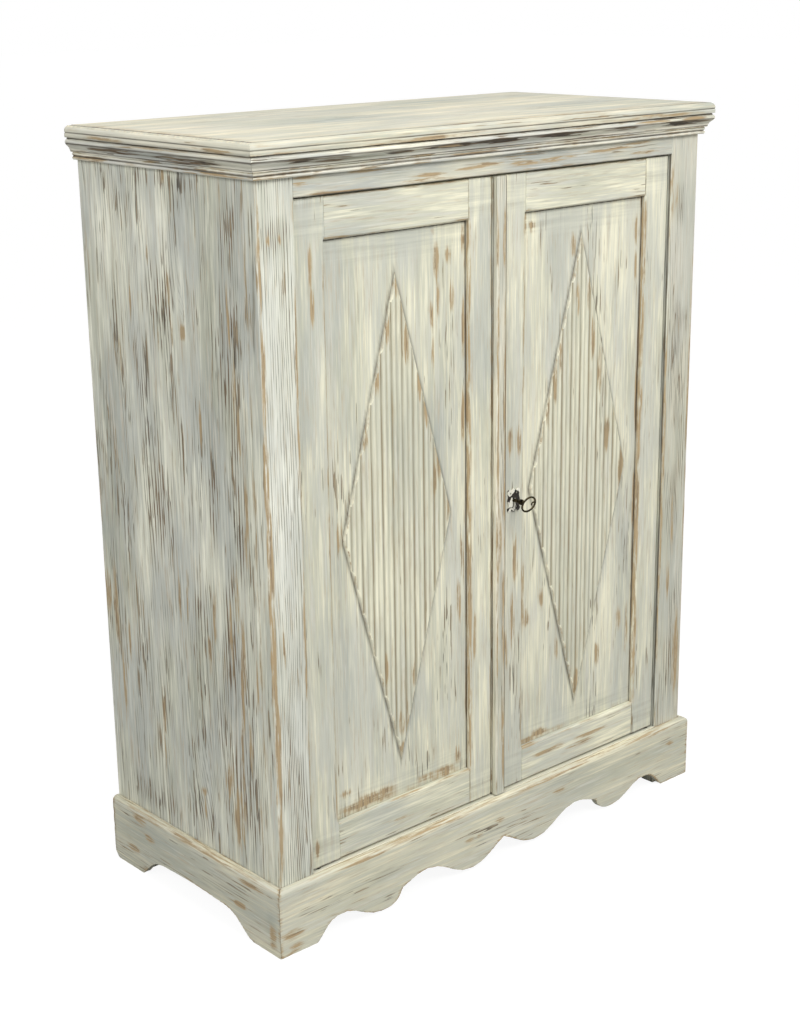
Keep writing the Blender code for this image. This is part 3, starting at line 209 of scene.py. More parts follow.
@dataclass(frozen=True)
class EdgeQuirk:
    """A narrow straight groove, painted dark with shade and dirt.

    Attributes:
        level: Where it lies on its axis.
        half: Half its width.
        depth: Its depth.
        across: Axis that it lies across.
    """

    level: float
    half: float
    depth: float
    across: Axis = Axis.Z

    SQUARE = 0.85

    def levels(self, axis: Axis, low: Vector, high: Vector) -> list[float]:
        """Levels on an axis at which the net must be cut for the groove."""
        return groove_levels(self.level, self.half) if axis is self.across else []

    def profile(self, places: np.ndarray, normals: np.ndarray) -> np.ndarray:
        """Share of the groove's depth at each point.

        Args:
            places: Points of the net.
            normals: Their normals.

        Returns:
            One value for each point, 0 on faces that look along the groove's axis.
        """
        index = self.across.value
        share = trough(places[:, index] - self.level, self.half)
        return np.where(np.abs(normals[:, index]) < self.SQUARE, share, 0.0)


@dataclass(frozen=True)
class RimQuirk:
    """A narrow groove on the top of a board, along its front and its ends, painted dark with shade and dirt.

    Attributes:
        inset: Distance in from the board's outline.
        half: Half its width.
        depth: Its depth.
    """

    inset: float
    half: float
    depth: float

    UPWARD = 0.25

    def levels(self, axis: Axis, low: Vector, high: Vector) -> list[float]:
        """Levels on an axis at which the net must be cut for the groove.

        Args:
            axis: The axis.
            low: Lower corner of the board.
            high: Upper corner of the board.

        Returns:
            The levels, none of them on Z and only the front ones on Y.
        """
        front = groove_levels(low[axis.value] + self.inset, self.half)
        back = groove_levels(high[axis.value] - self.inset, self.half)
        return {Axis.X: front + back, Axis.Y: front, Axis.Z: []}[axis]

    def profile(self, places: np.ndarray, normals: np.ndarray) -> np.ndarray:
        """Share of the groove's depth at each point.

        Args:
            places: Points of the net.
            normals: Their normals.

        Returns:
            One value for each point, 0 on faces that don't look up.
        """
        low = places.min(axis=0)
        high = places.max(axis=0)
        inside = np.minimum(places[:, 0] - low[0], high[0] - places[:, 0])
        inside = np.minimum(inside, places[:, 1] - low[1])
        return np.where(normals[:, 2] > self.UPWARD, trough(inside - self.inset, self.half), 0.0)


@dataclass(frozen=True)
class DiamondLine:
    """Painted shade and dirt on a panel along the outline of the lozenge that lies on it.

    Attributes:
        low: Lower corner of the lozenge's box.
        high: Upper corner of that box.
        width: How far the painted shade and dirt reach to both sides of the outline.
        share: Its strength.
        depth: Depth of the groove, none here.
    """

    low: Vector
    high: Vector
    width: float
    share: float
    depth: float = 0.0

    def levels(self, axis: Axis, low: Vector, high: Vector) -> list[float]:
        """Levels at which the net must be cut, none here."""
        return []

    def profile(self, places: np.ndarray, normals: np.ndarray) -> np.ndarray:
        """Strength of the painted shade and dirt at each point.

        Args:
            places: Points of the net.
            normals: Their normals, which aren't needed here.

        Returns:
            One value for each point.
        """
        middle = (self.low + self.high) / 2
        wide = (self.high.x - self.low.x) / 2
        tall = (self.high.z - self.low.z) / 2
        reach = np.abs(places[:, 0] - middle.x) / wide + np.abs(places[:, 2] - middle.z) / tall
        outside = (reach - 1.0) * wide * tall / math.hypot(wide, tall)
        return np.clip(1.0 - np.abs(outside) / self.width, 0.0, 1.0) * self.share


def lattice_values(cells: np.ndarray, seed: int) -> np.ndarray:
    """Give each lattice point a fixed value from 0 to 1.

    Args:
        cells: Whole-numbered lattice points, one row each.
        seed: Picks the pattern.

    Returns:
        One value for each row.
    """
    mixed = (cells[:, 0] * 73856093) ^ (cells[:, 1] * 19349663) ^ (cells[:, 2] * 83492791) ^ (seed * 6542989)
    mixed = ((mixed ^ (mixed >> 13)) * 1274126177) & 0xFFFFFFFF
    return ((mixed ^ (mixed >> 16)) & 0xFFFF) / 65535.0


def smooth_noise(points: np.ndarray, cell: Triple, seed: int) -> np.ndarray:
    """Smooth noise from 0 to 1 over points in space.

    Args:
        points: The points, one row each.
        cell: Size of a lattice cell along X, Y and Z.
        seed: Picks the pattern.

    Returns:
        One value for each point.
    """
    scaled = points / np.array(cell)
    base = np.floor(scaled).astype(np.int64)
    part = scaled - base
    part = part * part * (3 - 2 * part)
    total = np.zeros(len(points))
    for corner in range(8):
        offset = np.array([(corner >> axis) & 1 for axis in range(3)])
        share = np.prod(np.where(offset, part, 1 - part), axis=1)
        total += share * lattice_values(base + offset, seed)
    return total


def by_grain(grain: Axis, along: float, across: float) -> Triple:
    """Put one value on the grain's axis and another on the other two.

    Args:
        grain: Direction of the grain.
        along: Value on that axis.
        across: Value on the others.

    Returns:
        The three values.
    """
    return tuple(along if axis == grain.value else across for axis in range(3))


@dataclass(frozen=True)
class Pattern:
    """Noise that is drawn out along the grain.

    Attributes:
        along: Waves in a metre along the grain.
        across: Waves in a metre across it.
        detail: Octaves.
        rough: Strength of the finer octaves.
    """

    along: float
    across: float
    detail: float
    rough: float = 0.5


class Graph:
    """Adds and joins the nodes of one material."""

    def __init__(self, name: str) -> None:
        """Start a material with a Principled shader.

        Args:
            name: Name of the material.
        """
        self.material = bpy.data.materials.new(name)
        self.material.use_nodes = True
        self.tree = self.material.node_tree
        self.shader = self.tree.nodes["Principled BSDF"]

    def feed(self, value: Number | Triple, socket: Socket) -> None:
        """Join an output to a socket, or set the socket's own value.

        Args:
            value: An output, or a plain value.
            socket: The socket that takes it.
        """
        if isinstance(value, bpy.types.NodeSocket):
            self.tree.links.new(value, socket)
        else:
            socket.default_value = value

    def put(self, kind: str, inputs: dict[int | str, Number | Triple]) -> bpy.types.Node:
        """Add a node and feed its inputs.

        Args:
            kind: Kind of the node.
            inputs: Values by the index or the name of the input.

        Returns:
            The node.
        """
        node = self.tree.nodes.new("ShaderNode" + kind)
        for key, value in inputs.items():
            self.feed(value, node.inputs[key])
        return node

    def place(self) -> Socket:
        """Point on the piece, in its own coordinates."""
        return self.put("TexCoord", {}).outputs["Object"]

    def trace(self, name: str) -> Socket:
        """Value that the net carries.

        Args:
            name: Name of the trace.

        Returns:
            The value.
        """
        node = self.put("Attribute", {})
        node.attribute_name = name
        return node.outputs["Fac"]

    def parts(self, point: Socket) -> list[Socket]:
        """X, Y and Z of a point."""
        return list(self.put("SeparateXYZ", {0: point}).outputs)

    def maths(self, operation: str, first: Number, second: Number = 0.0) -> Socket:
        """Work out one operation on two numbers.

        Args:
            operation: Name of the operation.
            first: First number.
            second: Second number.

        Returns:
            The result.
        """
        node = self.put("Math", {0: first, 1: second})
        node.operation = operation
        return node.outputs[0]

    def times(self, first: Number, second: Number) -> Socket:
        """Product of two numbers."""
        return self.maths("MULTIPLY", first, second)

    def rest(self, share: Number) -> Socket:
        """What a share leaves of 1."""
        return self.maths("SUBTRACT", 1.0, share)

    def total(self, *terms: tuple[Number, float]) -> Socket:
        """Sum of values, each times its weight.

        Args:
            terms: Pairs of a value and its weight.

        Returns:
            The sum.
        """
        result = self.times(*terms[0])
        for term in terms[1:]:
            result = self.maths("ADD", result, self.times(*term))
        return result

    def between(self, first: Number, second: Number, share: Number) -> Socket:
        """Value between two others, by the second one's share."""
        return self.maths("ADD", self.times(first, self.rest(share)), self.times(second, share))

    def vector(self, operation: str, first: Number, second: Number | Triple) -> Socket:
        """Work out one operation on two vectors.

        Args:
            operation: Name of the operation.
            first: First vector.
            second: Second vector.

        Returns:
            The result.
        """
        node = self.put("VectorMath", {0: first, 1: second})
        node.operation = operation
        return node.outputs[0]

    def noise(self, point: Socket, grain: Axis, pattern: Pattern, spread: float = 1.0) -> Socket:
        """Noise of a pattern that lies along the grain.

        Args:
            point: Where the noise is read.
            grain: Direction of the grain.
            pattern: Its waves and octaves.
            spread: How much wider the waves are across the grain.

        Returns:
            A value that lies about 0.5.
        """
        scale = by_grain(grain, pattern.along, pattern.across / spread)
        inputs = {"Scale": 1.0, "Detail": pattern.detail, "Roughness": pattern.rough}
        return self.put("TexNoise", {"Vector": self.vector("MULTIPLY", point, scale), **inputs}).outputs[0]

    def ring_phase(self, point: Socket, grain: Axis, spacing: float, *bends: tuple[Number, float]) -> Socket:
        """Place within a growth ring, across the grain.

        Args:
            point: Where the rings are read.
            grain: Direction of the grain.
            spacing: Spacing of the rings.
            bends: Pairs of a value that bends the rings and its weight.

        Returns:
            0 where a ring starts, rising to 1 where it ends.
        """
        parts = self.parts(point)
        sides = [(parts[axis.value], 1 / spacing) for axis in Axis if axis is not grain]
        return self.maths("FRACT", self.total(*sides, *bends))

    def rise(self, value: Number, middle: Number, width: float) -> Socket:
        """Smooth step from 0 to 1 round a middle value.

        Args:
            value: The value that is tested.
            middle: Where the step is half way.
            width: How wide the step is.

        Returns:
            A value from 0 to 1.
        """
        offset = self.maths("SUBTRACT", value, middle)
        node = self.put("MapRange", {"Value": offset, "From Min": -width / 2, "From Max": width / 2})
        node.interpolation_type = "SMOOTHSTEP"
        return node.outputs["Result"]

    def mix(self, share: Number, first: Socket | Colour, second: Socket | Colour) -> Socket:
        """Blend of two colours.

        Args:
            share: Share of the second colour.
            first: First colour.
            second: Second colour.

        Returns:
            The blended colour.
        """
        node = self.put("Mix", {})
        node.data_type = "RGBA"
        node.clamp_factor = False
        self.feed(share, node.inputs["Factor"])
        for index, colour in ((6, first), (7, second)):
            joined = isinstance(colour, bpy.types.NodeSocket)
            self.feed(colour if joined else (*colour, 1.0), node.inputs[index])
        return node.outputs[2]

    def raise_surface(self, height: Socket, strength: float, distance: float) -> None:
        """Let a height bend the shader's normal."""
        node = self.put("Bump", {"Strength": strength, "Distance": distance, "Height": height})
        self.feed(node.outputs["Normal"], self.shader.inputs["Normal"])

    def finish(self, colour: Socket, roughness: Number = 0.62, metallic: float = 0.0) -> bpy.types.Material:
        """Set the shader's colour, roughness and metallic value.

        Args:
            colour: Surface colour.
            roughness: Roughness of the surface.
            metallic: Metallic value.

        Returns:
            The finished material.
        """
        self.feed(colour, self.shader.inputs["Base Color"])
        self.feed(roughness, self.shader.inputs["Roughness"])
        self.shader.inputs["Metallic"].default_value = metallic
        return self.material


CREAM = (0.81, 0.775, 0.625)
OFF_WHITE = (0.91, 0.885, 0.765)
GREY_GREEN = (0.465, 0.48, 0.385)
BLUE_GREY = (0.42, 0.455, 0.46)
LINE_GREY = (0.21, 0.20, 0.155)
SOFT_TAN = (0.52, 0.42, 0.26)
TAN = (0.46, 0.335, 0.185)
WALNUT = (0.24, 0.165, 0.09)
BROWN = (0.14, 0.088, 0.044)
SOOT = (0.045, 0.037, 0.027)
# Near-black painted shade, with dirt, for creases and gaps.
CREASE_SHADE_AND_DIRT = (0.060, 0.045, 0.028)
# Painted shade and dirt in the bottoms of the carved reeds.
REED_SHADE_AND_DIRT = (0.30, 0.235, 0.13)


@dataclass(frozen=True)
class Brushwork:
    """Noises and traces that the layers of one paint share.

    Attributes:
        place: Point on the piece.
        fine: Noise of the bristles.
        short: Noise of the short dark strokes.
        medium: Noise of the middling strokes.
        broad: Noise of the broad strokes.
        groups: Noise that gathers lines and strokes in groups.
        level: Noise of the strokes brushed across the grain.
        cross: Share of those strokes.
        dark: How dark the place has become.
    """

    place: Socket
    fine: Socket
    short: Socket
    medium: Socket
    broad: Socket
    groups: Socket
    level: Socket
    cross: Socket
    dark: Socket


@dataclass(frozen=True)
class PaintedPine:
    """Thin cream and grey-green paint brushed over pine along its grain, then rubbed back.

    Attributes:
        name: Name of the material.
        grain: Direction of the grain.
        grey: Share of grey-green in the cream.
        blue: How much of the face leans to blue-grey.
        contrast: How strongly the brush strokes differ.
        bristle: How strongly the finest strokes differ.
        spread: How wide the finest strokes are, in terms of the usual.
        rings: Strength of the growth lines that show through.
        ring: Spacing of the growth lines.
        strokes: Density of the short dark strokes.
        rubbed: How readily the wood shows through away from the arrises.
        light: Colour of the lightest paint.
    """

    name: str
    grain: Axis
    grey: float = 0.35
    blue: float = 0.3
    contrast: float = 1.0
    bristle: float = 1.9
    spread: float = 1.0
    rings: float = 0.2
    ring: float = 0.0042
    strokes: float = 0.0
    rubbed: float = 0.0
    light: Colour = CREAM

    SWAY = Pattern(2.2, 7.0, 1.0)
    FINE = Pattern(9, 260, 3.0, 0.6)
    SHORT = Pattern(17, 370, 1.5)
    MEDIUM = Pattern(8, 115, 3.0, 0.6)
    BROAD = Pattern(4.2, 34, 3.0, 0.55)
    GROUPS = Pattern(6, 30, 2.0)
    LEVEL = Pattern(5, 110, 4.0, 0.62)
    HAZE = Pattern(4.5, 15, 2.0)
    CLOUD = Pattern(2.4, 4.5, 2.0)
    WANDER = Pattern(1.4, 15, 1.5)
    BITE = Pattern(55, 260, 3.0, 0.65)
    SWAY_REACH = 0.0035
    PALEST = -0.30
    GREYEST = 1.40
    LINE_WIDTH = 0.22
    GATE_WIDTH = 0.16
    STROKE_WIDTH = 0.035
    BUMP = 0.5
    BUMP_DEPTH = 0.0006
    # Each step is a middle and a width.
    LINE_END = (0.955, 0.07)
    BLUE_STEP = (0.50, 0.20)
    BRIGHT_STEP = (0.57, 0.14)
    DASH_STEP = (0.48, 0.10)
    CHAR_STEP = (0.48, 0.20)
    CLEAN_STEP = (3.2, -2.4)
    HALO_STEP = (0.24, 0.52)
    BARE_STEP = (0.56, 0.42)
    WOOD_STEP = (0.48, 0.14)
    DIRT_STEP = (0.47, 0.16)
    # Each layer covers at most this share.
    BRIGHT_SHARE = 0.5
    HALO_SHARE = 0.64
    BARE_SHARE = 0.86

    def brushwork(self, graph: Graph) -> Brushwork:
        """Make the noises and traces that the layers share.

        Args:
            graph: The material's graph.

        Returns:
            The noises and traces.
        """
        place = graph.place()
        sway = graph.noise(place, self.grain, self.SWAY)
        shift = graph.total((sway, 2 * self.SWAY_REACH), (1.0, -self.SWAY_REACH))
        aside = graph.put("CombineXYZ", {axis.value: shift for axis in Axis if axis is not self.grain})
        point = graph.vector("ADD", place, aside.outputs[0])
        turned = Axis.X if self.grain is Axis.Z else Axis.Z
        return Brushwork(
            place=place,
            fine=graph.noise(point, self.grain, self.FINE, self.spread),
            short=graph.noise(point, self.grain, self.SHORT, self.spread),
            medium=graph.noise(point, self.grain, self.MEDIUM),
            broad=graph.noise(point, self.grain, self.BROAD),
            groups=graph.noise(point, self.grain, self.GROUPS),
            level=graph.noise(place, turned, self.LEVEL),
            cross=graph.maths("MINIMUM", graph.trace("cross"), 1.0),
            dark=graph.trace("dark"),
        )

    def tone(self, graph: Graph, work: Brushwork) -> Socket:
        """Share of grey at each point, in strokes along the brush.

        Args:
            graph: The material's graph.
            work: Its noises and traces.

        Returns:
            A value about the finish's grey.
        """
        contrast = self.contrast
        bristle = self.bristle
        cloud = graph.noise(work.place, self.grain, self.CLOUD)
        along = graph.total((work.broad, 1.1 * contrast), (work.medium, 0.8 * contrast), (work.fine, bristle))
        crossed = graph.total(
            (work.level, 1.5 * contrast), (work.fine, 0.2 * bristle), (1.0, 0.2 * contrast + 0.4 * bristle)
        )
        middle = 0.5 * (1.9 * contrast + bristle) + 0.6
        tone = graph.total(
            (graph.between(along, crossed, work.cross), 1.0), (cloud, 1.2), (graph.trace("grey"), 0.55),
            (graph.trace("pale"), -0.55), (1.0, self.grey - middle),
        )
        return graph.maths("MAXIMUM", graph.maths("MINIMUM", tone, self.GREYEST), self.PALEST)

    def brushed(self, graph: Graph, work: Brushwork) -> Socket:
        """Colour of the paint in its strokes, before lines and wear.

        Args:
            graph: The material's graph.
            work: Its noises and traces.

        Returns:
            The colour.
        """
        colour = graph.mix(self.tone(graph, work), self.light, GREY_GREEN)
        haze = graph.noise(work.place, self.grain, self.HAZE)
        blues = graph.rise(graph.total((haze, 0.7), (work.medium, 0.3)), *self.BLUE_STEP)
        colour = graph.mix(graph.times(blues, self.blue), colour, BLUE_GREY)
        bright = graph.rise(graph.total((work.fine, 0.65), (work.medium, 0.35)), *self.BRIGHT_STEP)
        straight = graph.total((1.0, 1.0), (work.cross, -0.85))
        return graph.mix(graph.times(graph.times(bright, straight), self.BRIGHT_SHARE), colour, OFF_WHITE)

    def growth_lines(self, graph: Graph, work: Brushwork) -> Socket:
        """Thin lines along the grain, bent round the knots.

        Args:
            graph: The material's graph.
            work: Its noises and traces.

        Returns:
            1 on a line and 0 between two lines, less where the lines show weakly.
        """
        wander = graph.noise(work.place, self.grain, self.WANDER)
        part = graph.ring_phase(work.place, self.grain, self.ring, (wander, 9.0), (graph.trace("burl"), 1.0))
        start = graph.total((1.0, 0.72), (work.dark, -0.11))
        end = graph.rest(graph.rise(part, *self.LINE_END))
        lines = graph.times(graph.rise(part, start, self.LINE_WIDTH), end)
        gathered = graph.total((work.groups, 1.0), (work.dark, 0.10))
        gate = graph.rise(gathered, 0.66 - 0.24 * self.rings, self.GATE_WIDTH)
        dash = graph.rise(graph.total((work.short, 0.7), (work.medium, 0.3)), *self.DASH_STEP)
        visible = graph.times(gate, graph.total((1.0, 0.30 + 0.60 * self.rings), (work.dark, 0.20)))
        visible = graph.times(visible, graph.total((dash, 0.7), (1.0, 0.3)))
        return graph.times(lines, graph.maths("MINIMUM", visible, 1.0))

    def dark_strokes(self, graph: Graph, work: Brushwork) -> Socket:
        """Short dark strokes along the grain.

        Args:
            graph: The material's graph.
            work: Its noises and traces.

        Returns:
            1 in a stroke and 0 beside it.
        """
        pick = graph.total((work.short, 0.75), (work.groups, 0.50), (work.dark, 0.045))
        return graph.rise(pick, 0.836 - self.strokes * 0.12, self.STROKE_WIDTH)

    def drawn(self, graph: Graph, work: Brushwork, colour: Socket, lines: Socket, strokes: Socket) -> Socket:
        """Draw the growth lines and the dark strokes over the paint.

        Args:
            graph: The material's graph.
            work: Its noises and traces.
            colour: The paint.
            lines: Share of the growth lines.
            strokes: Share of the dark strokes.

        Returns:
            The colour.
        """
        line_colour = graph.mix(graph.maths("MINIMUM", graph.times(work.dark, 0.9), 1.0), LINE_GREY, BROWN)
        colour = graph.mix(lines, colour, line_colour)
        clean = graph.rise(work.dark, *self.CLEAN_STEP)
        char = graph.mix(graph.times(graph.rise(work.medium, *self.CHAR_STEP), clean), SOOT, BROWN)
        ink = graph.maths("MINIMUM", graph.total((1.0, 0.80), (work.dark, 0.06)), 1.0)
        return graph.mix(graph.times(strokes, ink), colour, char)

    def rub(self, graph: Graph, work: Brushwork) -> Socket:
        """How far the paint is rubbed back, with ragged outlines.

        Args:
            graph: The material's graph.
            work: Its noises and traces.

        Returns:
            A value that rises with the wear.
        """
        worn = graph.trace("worn")
        bite = graph.noise(work.place, self.grain, self.BITE)
        streak = graph.between(work.short, work.level, work.cross)
        ragged = graph.total((bite, 1.6), (work.medium, 1.5), (streak, 3.6), (1.0, -3.35))
        reach = graph.total((worn, 0.9), (1.0, 0.30 + 0.25 * self.rubbed))
        return graph.maths("ADD", worn, graph.times(ragged, reach))

    def rubbed_back(self, graph: Graph, work: Brushwork, colour: Socket, rub: Socket, bare: Socket) -> Socket:
        """Show the tan ground round worn spots and the wood in them.

        Args:
            graph: The material's graph.
            work: Its noises and traces.
            colour: The paint.
            rub: How far it is rubbed back.
            bare: Share of bare wood.

        Returns:
            The colour.
        """
        halo = graph.times(graph.rise(rub, *self.HALO_STEP), self.HALO_SHARE)
        colour = graph.mix(halo, colour, SOFT_TAN)
        early = graph.rise(graph.total((work.fine, 0.6), (work.short, 0.4)), *self.WOOD_STEP)
        return graph.mix(graph.times(bare, self.BARE_SHARE), colour, graph.mix(early, WALNUT, TAN))

    def soiled_and_shaded(self, graph: Graph, work: Brushwork, colour: Socket) -> Socket:
        """Lay painted shade and dirt in the carved grooves and in the creases.

        Args:
            graph: The material's graph.
            work: Its noises and traces.
            colour: The paint.

        Returns:
            The colour.
        """
        patchy = graph.rise(work.medium, *self.DIRT_STEP)
        # The deep parts of the reeds get a painted shade with dirt.
        filled_shade_and_dirt = graph.times(graph.trace("groove"), graph.total((patchy, 0.50), (1.0, 0.48)))
        colour = graph.mix(filled_shade_and_dirt, colour, REED_SHADE_AND_DIRT)
        # Creases and gaps get a painted shade with dirt.
        settled_shade_and_dirt = graph.times(graph.trace("crease"), graph.total((patchy, 0.30), (1.0, 0.70)))
        return graph.mix(settled_shade_and_dirt, colour, CREASE_SHADE_AND_DIRT)

    def material(self) -> bpy.types.Material:
        """Build the material, or find it where it has been built.

        Returns:
            The finished material.
        """
        found = bpy.data.materials.get(self.name)
        if found:
            return found
        graph = Graph(self.name)
        work = self.brushwork(graph)
        lines = self.growth_lines(graph, work)
        strokes = self.dark_strokes(graph, work)
        rub = self.rub(graph, work)
        bare = graph.rise(rub, *self.BARE_STEP)
        colour = self.drawn(graph, work, self.brushed(graph, work), lines, strokes)
        colour = self.rubbed_back(graph, work, colour, rub, bare)
        height = graph.total(
            (work.fine, 0.7), (work.short, 0.4), (lines, -0.5), (strokes, -0.5), (bare, -0.35)
        )
        graph.raise_surface(height, self.BUMP, self.BUMP_DEPTH)
        return graph.finish(self.soiled_and_shaded(graph, work, colour))


@dataclass(frozen=True)
class BarePine:
    """Old pine without paint, darker between the growth lines.

    Attributes:
        name: Name of the material.
        grain: Direction of the grain.
        light: Colour of the early wood.
        deep: Colour of the late wood.
        shift: How far the board lies from the first one in the tree, so that no two look alike.
        shade: Share of grime on the board.
        painted_to: How far back paint has been carried from the front, or None.
    """

    name: str
    grain: Axis
    light: Colour = (0.47, 0.29, 0.14)
    deep: Colour = (0.25, 0.13, 0.055)
    shift: float = 0.0
    shade: float = 0.35
    painted_to: float | None = None

    RING = 0.009
    SIDESTEP = 0.37
    GRIME = (0.15, 0.09, 0.05)
    RINGS = Pattern(1.2, 60, 2.0)
    FINE = Pattern(10, 700, 2.0)
    CLOUD = Pattern(2, 9, 3.0)
    WANDER = Pattern(0.8, 5.0, 1.5)
    # Each step is a middle and a width.
    LATE_START = (0.60, 0.50)
    LATE_END = (0.96, -0.08)
    TONE_STEP = (0.50, 0.45)
    GRIME_STEP = (0.50, 0.30)
    PAINT_WIDTH = 0.002

    def material(self) -> bpy.types.Material:
        """Build the material.

        Returns:
            The finished material.
        """
        graph = Graph(self.name)
        place = graph.place()
        point = graph.vector("ADD", place, by_grain(self.grain, self.shift, self.SIDESTEP * self.shift))
        rings = graph.noise(point, self.grain, self.RINGS)
        fine = graph.noise(point, self.grain, self.FINE)
        cloud = graph.noise(point, self.grain, self.CLOUD)
        wander = graph.noise(point, self.grain, self.WANDER)
        part = graph.ring_phase(point, self.grain, self.RING, (wander, 30.0))
        late = graph.times(graph.rise(part, *self.LATE_START), graph.rise(part, *self.LATE_END))
        tone = graph.total((rings, 0.9), (fine, 0.5), (late, 0.30), (1.0, -0.30))
        colour = graph.mix(graph.rise(tone, *self.TONE_STEP), self.light, self.deep)
        colour = graph.mix(graph.times(graph.rise(cloud, *self.GRIME_STEP), self.shade), colour, self.GRIME)
        if self.painted_to is not None:
            depth = graph.parts(place)[Axis.Y.value]
            front = graph.rest(graph.rise(depth, self.painted_to, self.PAINT_WIDTH))
            paint = graph.mix(graph.rise(rings, *self.GRIME_STEP), CREAM, GREY_GREEN)
            colour = graph.mix(front, colour, paint)
        graph.raise_surface(graph.total((fine, 0.6), (rings, 0.4)), 0.4, 0.0005)
        return graph.finish(colour, graph.total((cloud, 0.2), (1.0, 0.62)))


@dataclass(frozen=True)
class WornIron:
    """Dark iron with a dull bloom, and old paint caught on it where asked.

    Attributes:
        name: Name of the material.
        paint: Share of the surface with flakes of pale paint.
        metallic: Metallic value.
    """

    name: str
    paint: float = 0.0
    metallic: float = 0.85

    BLOOM = Pattern(260, 260, 3.0)
    COARSE = Pattern(90, 90, 2.0)
    BLOOM_STEP = (0.50, 0.25)
    FLAKE_WIDTH = 0.04
    BLACK = (0.008, 0.007, 0.007)
    RUSTY = (0.034, 0.026, 0.019)

    def material(self) -> bpy.types.Material:
        """Build the material.

        Returns:
            The finished material.
        """
        graph = Graph(self.name)
        place = graph.place()
        bloom = graph.noise(place, Axis.Z, self.BLOOM)
        coarse = graph.noise(place, Axis.Z, self.COARSE)
        colour = graph.mix(graph.rise(bloom, *self.BLOOM_STEP), self.BLACK, self.RUSTY)
        if self.paint > 0.0:
            flake = graph.rise(coarse, 0.62 - self.paint * 0.25, self.FLAKE_WIDTH)
            colour = graph.mix(flake, colour, OFF_WHITE)
        graph.raise_surface(graph.total((bloom, 0.7), (coarse, 0.3)), 0.5, 0.0004)
        return graph.finish(colour, graph.total((bloom, 0.35), (1.0, 0.32)), self.metallic)


@dataclass(frozen=True)
class AgedBronze:
    """Dark olive bronze, brighter where fingers rub it.

    Attributes:
        name: Name of the material.
    """

    name: str

    FILM = Pattern(180, 180, 3.0)
    FILM_STEP = (0.50, 0.30)
    OLIVE = (0.014, 0.012, 0.007)
    RUBBED = (0.075, 0.058, 0.028)
    METALLIC = 0.9

    def material(self) -> bpy.types.Material:
        """Build the material.

        Returns:
            The finished material.
        """
        graph = Graph(self.name)
        film = graph.noise(graph.place(), Axis.Z, self.FILM)
        colour = graph.mix(graph.rise(film, *self.FILM_STEP), self.OLIVE, self.RUBBED)
        graph.raise_surface(film, 0.35, 0.0003)
        return graph.finish(colour, graph.total((film, 0.4), (1.0, 0.18)), self.METALLIC)


